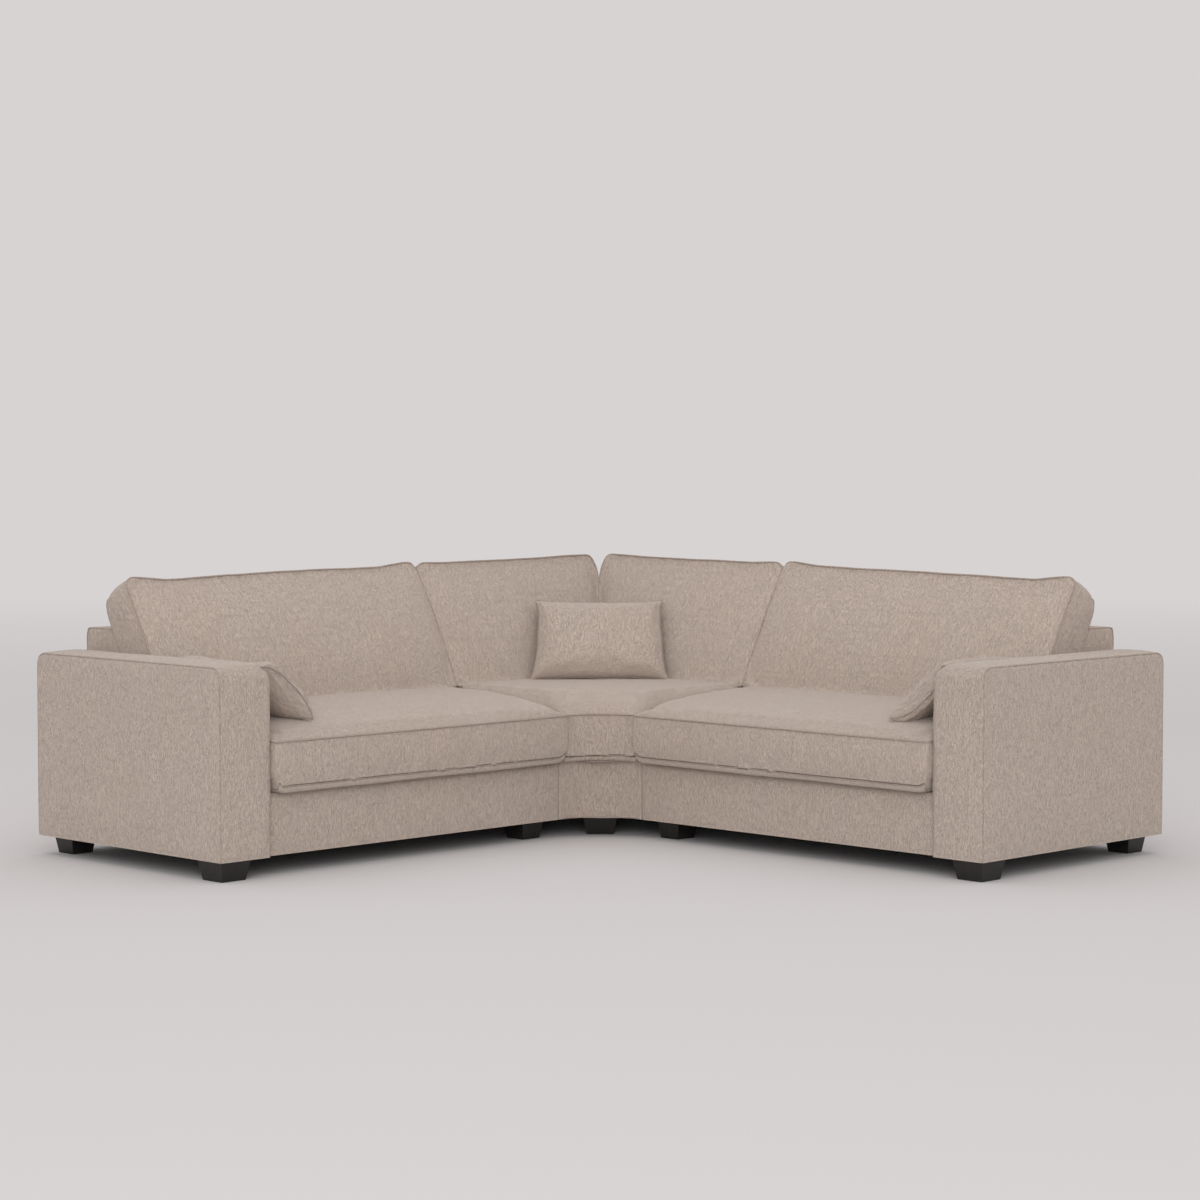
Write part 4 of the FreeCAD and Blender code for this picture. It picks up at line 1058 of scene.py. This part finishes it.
def make_pillow(node, size, along, up, seed, end_power, low_power, bow=0.0, taper=0.0, droop=0.0):
    """Pillow in the middle of its node's box. Its front looks where along x up points.

    The higher the end power, the fuller its ends, and the higher the low power, the fuller the lower half
    of its full sheet. The seams of its ends bow backwards. It narrows upwards by taper, and its lower
    corner at the far end droops."""
    across, rows = [round(length / PILLOW_STEP) for length in size[:2]]
    places, faces, rim = sewn_pair(across, rows)
    x, y, side = places.T
    x = 2 * crowd((x + 1) / 2, LONG_CROWD) - 1
    power = np.where((y < 0) & (side * FULL_SHEET > 0), low_power, PILLOW_POWER)
    full_x, full_y = 1 - np.abs(x) ** end_power, 1 - np.abs(y) ** PILLOW_POWER
    depth = size[2] / 2 * (full_x * (1 - np.abs(y) ** power)) ** PILLOW_ROOT
    sideways = x * size[0] / 2 * (1 - END_WAIST * full_y) * (1 - taper * y)
    upwards = y * size[1] / 2 * (1 - SIDE_WAIST * full_x)
    forward = np.clip(side * depth - bow * full_y * np.abs(x) ** BOW_POWER, -size[2] / 2, size[2] / 2)
    axes = np.array([along, up, along.cross(up)])
    box_low, box_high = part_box(node)
    center = np.array((box_low + box_high) / 2)
    slope = up / up.z
    finish = weave(node + "_weave", WEAVE_TONE, (slope.x, slope.y))
    points = center + np.stack([sideways, upwards, forward], 1) @ axes
    piece = add_piece(node + "_pad", points, faces, finish)
    ruffle(piece, seed, PILLOW_WAVES)

    def fit(piece):
        """Brings the filled pillow back to its size."""
        shape = (points_of(piece) - center) @ axes.T
        low, high = shape.min(0), shape.max(0)
        shape = (shape - (low + high) / 2) * (np.array(size) / (high - low))
        far = np.clip(shape[:, 0] / size[0] * 2, 0, 1)
        below = np.clip(0.5 - shape[:, 1] / size[1], 0, 1)
        points = center + shape @ axes
        points[:, 2] -= droop * far ** 2 * below
        set_points(piece, points)

    held = (side == 0) & (bow > 0)
    stuff(piece, node, held, 0.0, PILLOW_CAP, [("seam", rim, PILLOW_SEAM, PROUD)], PILLOW_FILL, fit)


def leaning_up(lean, towards):
    """Direction that leans from upright towards another one."""
    return Vector((0, 0, 1)) * math.cos(lean) + towards * math.sin(lean)


def make_corner_pillow(seed):
    lean = math.atan(BACK_LEAN * math.sqrt(2)) - math.radians(CORNER_PILLOW_STEEPER)
    along = Vector((1, 1, 0)).normalized()
    back = Vector((-1, 1, 0)).normalized()
    make_pillow("corner_pillow", CORNER_PILLOW, along, leaning_up(lean, back), seed, **CORNER_PILLOW_FORM)


def make_arm_pillow(wing, seed):
    """Pillow against an arm. The side one lies on its front sheet, the rear one on its back sheet."""
    depth = Vector((1, 0, 0)) if wing == "side" else Vector((0, -1, 0))
    outwards = Vector((0, -1, 0)) if wing == "side" else Vector((1, 0, 0))
    up = leaning_up(math.radians(ARM_PILLOW_LEAN), outwards)
    make_pillow(wing + "_arm_pillow", ARM_PILLOW, depth, up, seed, **ARM_PILLOW_FORM)


# Feet and the frame


def bevelled_copy(node, name, width, material):
    """Copy of a foot node's form with softly broken edges."""
    mesh = frame["nodes"][node].data.copy()
    mesh.name = name
    mesh.materials.clear()
    mesh.materials.append(material)
    piece = bpy.data.objects.new(name, mesh)
    scene.collection.objects.link(piece)
    weld = piece.modifiers.new("weld", "WELD")
    weld.merge_threshold = WELD_DISTANCE
    edges = piece.modifiers.new("edges", "BEVEL")
    edges.width = width
    edges.segments = 3
    edges.limit_method = "ANGLE"
    edges.angle_limit = math.radians(BEVEL_ANGLE)
    mesh.shade_flat()
    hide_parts(node)
    dress(piece, "sofa_frame")


def finish_frame():
    """Gives the nodes that stay their materials, by the record's slots."""
    fibre = (0.002, 0.002, 0.002)
    finishes = {
        "dust_cloth": cloth("dust_cloth_finish", tone=(0.02, 0.02, 0.022), size=fibre, depth=0.0003),
        "webbing": cloth("webbing_finish", tone=(0.06, 0.055, 0.05), size=fibre, depth=0.0005),
        "zinc": metal("zinc_finish"),
        "plywood": layered("plywood_finish"),
        "pine": timber(
            "pine_finish", pale=(0.62, 0.44, 0.25), dark=(0.42, 0.27, 0.13), size=(0.02, 0.02, 0.3),
            depth=0.0005,
        ),
    }
    for part in frame["record"]["subparts"]:
        finish = finishes.get(part["material_slot"])
        node = frame["nodes"][part["node"]]
        if finish:
            node.data.materials.clear()
            node.data.materials.append(finish)


# Floor and light


def make_floor():
    mesh = bpy.data.meshes.new("floor")
    corners = [(x * FLOOR_REACH, y * FLOOR_REACH, 0) for x, y in ((-1, -1), (1, -1), (1, 1), (-1, 1))]
    mesh.from_pydata(corners, [], [[0, 1, 2, 3]])
    floor = bpy.data.objects.new("floor", mesh)
    scene.collection.objects.link(floor)
    material = bpy.data.materials.new("floor_finish")
    graph = Graph(material)
    place = graph.add("ShaderNodeTexCoord")
    length = graph.add("ShaderNodeVectorMath", {"operation": "LENGTH"}, i0=place.outputs["Object"])
    far = graph.between(length.outputs[1], *FLOOR_FADE)
    matt = graph.add("ShaderNodeBsdfDiffuse", Color=tint(FLOOR_TONE))
    clear = graph.add("ShaderNodeBsdfTransparent")
    both = graph.add("ShaderNodeMixShader", i0=far, i1=matt.outputs[0], i2=clear.outputs[0])
    out = graph.add("ShaderNodeOutputMaterial")
    graph.put(out, "Surface", both.outputs[0])
    mesh.materials.append(material)


def make_sky():
    """Even studio light, pale at the horizon and brighter overhead."""
    world = bpy.data.worlds.new("studio")
    scene.world = world
    graph = Graph(world)
    place = graph.add("ShaderNodeTexCoord")
    height = graph.add("ShaderNodeSeparateXYZ", Vector=place.outputs["Generated"]).outputs[2]
    color = graph.blend(graph.between(height, *SKY_CHANGE), tint(LOW_SKY_TONE), tint(HIGH_SKY_TONE))
    back = graph.add("ShaderNodeBackground", Color=color, Strength=1.0)
    out = graph.add("ShaderNodeOutputWorld")
    graph.put(out, "Surface", back.outputs[0])


def make_lamp(name, place, target, size, power):
    """Round soft lamp that faces a target and isn't seen itself."""
    data = bpy.data.lights.new(name, "AREA")
    data.shape = "DISK"
    data.size = size
    data.energy = power
    lamp = bpy.data.objects.new(name, data)
    lamp.location = place
    lamp.rotation_euler = (Vector(target) - Vector(place)).to_track_quat("-Z", "Y").to_euler()
    lamp.visible_camera = False
    scene.collection.objects.link(lamp)


make_camera()
body_weave = weave("weave_finish", WEAVE_TONE)
leaning_weaves = {
    "side": weave("side_back_weave", WEAVE_TONE, (-BACK_LEAN, 0.0)),
    "rear": weave("rear_back_weave", WEAVE_TONE, (0.0, BACK_LEAN)),
}
# Piping and seam cords in a darker tone: painted shade along the seams
shaded_piping_weave = weave("shaded_piping_finish", PIPING_SHADE_TONE)
foot_finish = timber(
    "foot_finish", pale=(0.012, 0.009, 0.008), dark=(0.006, 0.005, 0.004), size=(0.01, 0.01, 0.08),
    depth=0.0003, roughness=0.38,
)
# The last value of each call is the seed of its piece's waves
for number, (wing, place) in enumerate(WINGS):
    make_arm_cover(wing, place, 1 + number)
    make_back_cover(wing, place, 3 + number)
    make_corner_back_cover(wing, place, 5 + number)
    make_base_cover(wing, place, 7 + number)
    make_wing_seat_cushion(wing, place, 10 + number)
    make_wing_back_cushion(wing, place, 12 + number)
    make_corner_back_cushion(wing, place, 14 + number)
    make_arm_pillow(wing, 16 + number)
make_corner_base_cover(9)
make_corner_seat_cushion(18)
make_corner_pillow(19)
blow_up()
finish_soft_pieces()
for node in ("side_feet", "rear_feet", "corner_feet"):
    bevelled_copy(node, node + "_blocks", FOOT_BEVEL, foot_finish)
finish_frame()
make_floor()
make_sky()
for lamp in LAMPS:
    make_lamp(*lamp)
scene.view_settings.view_transform = "Standard"
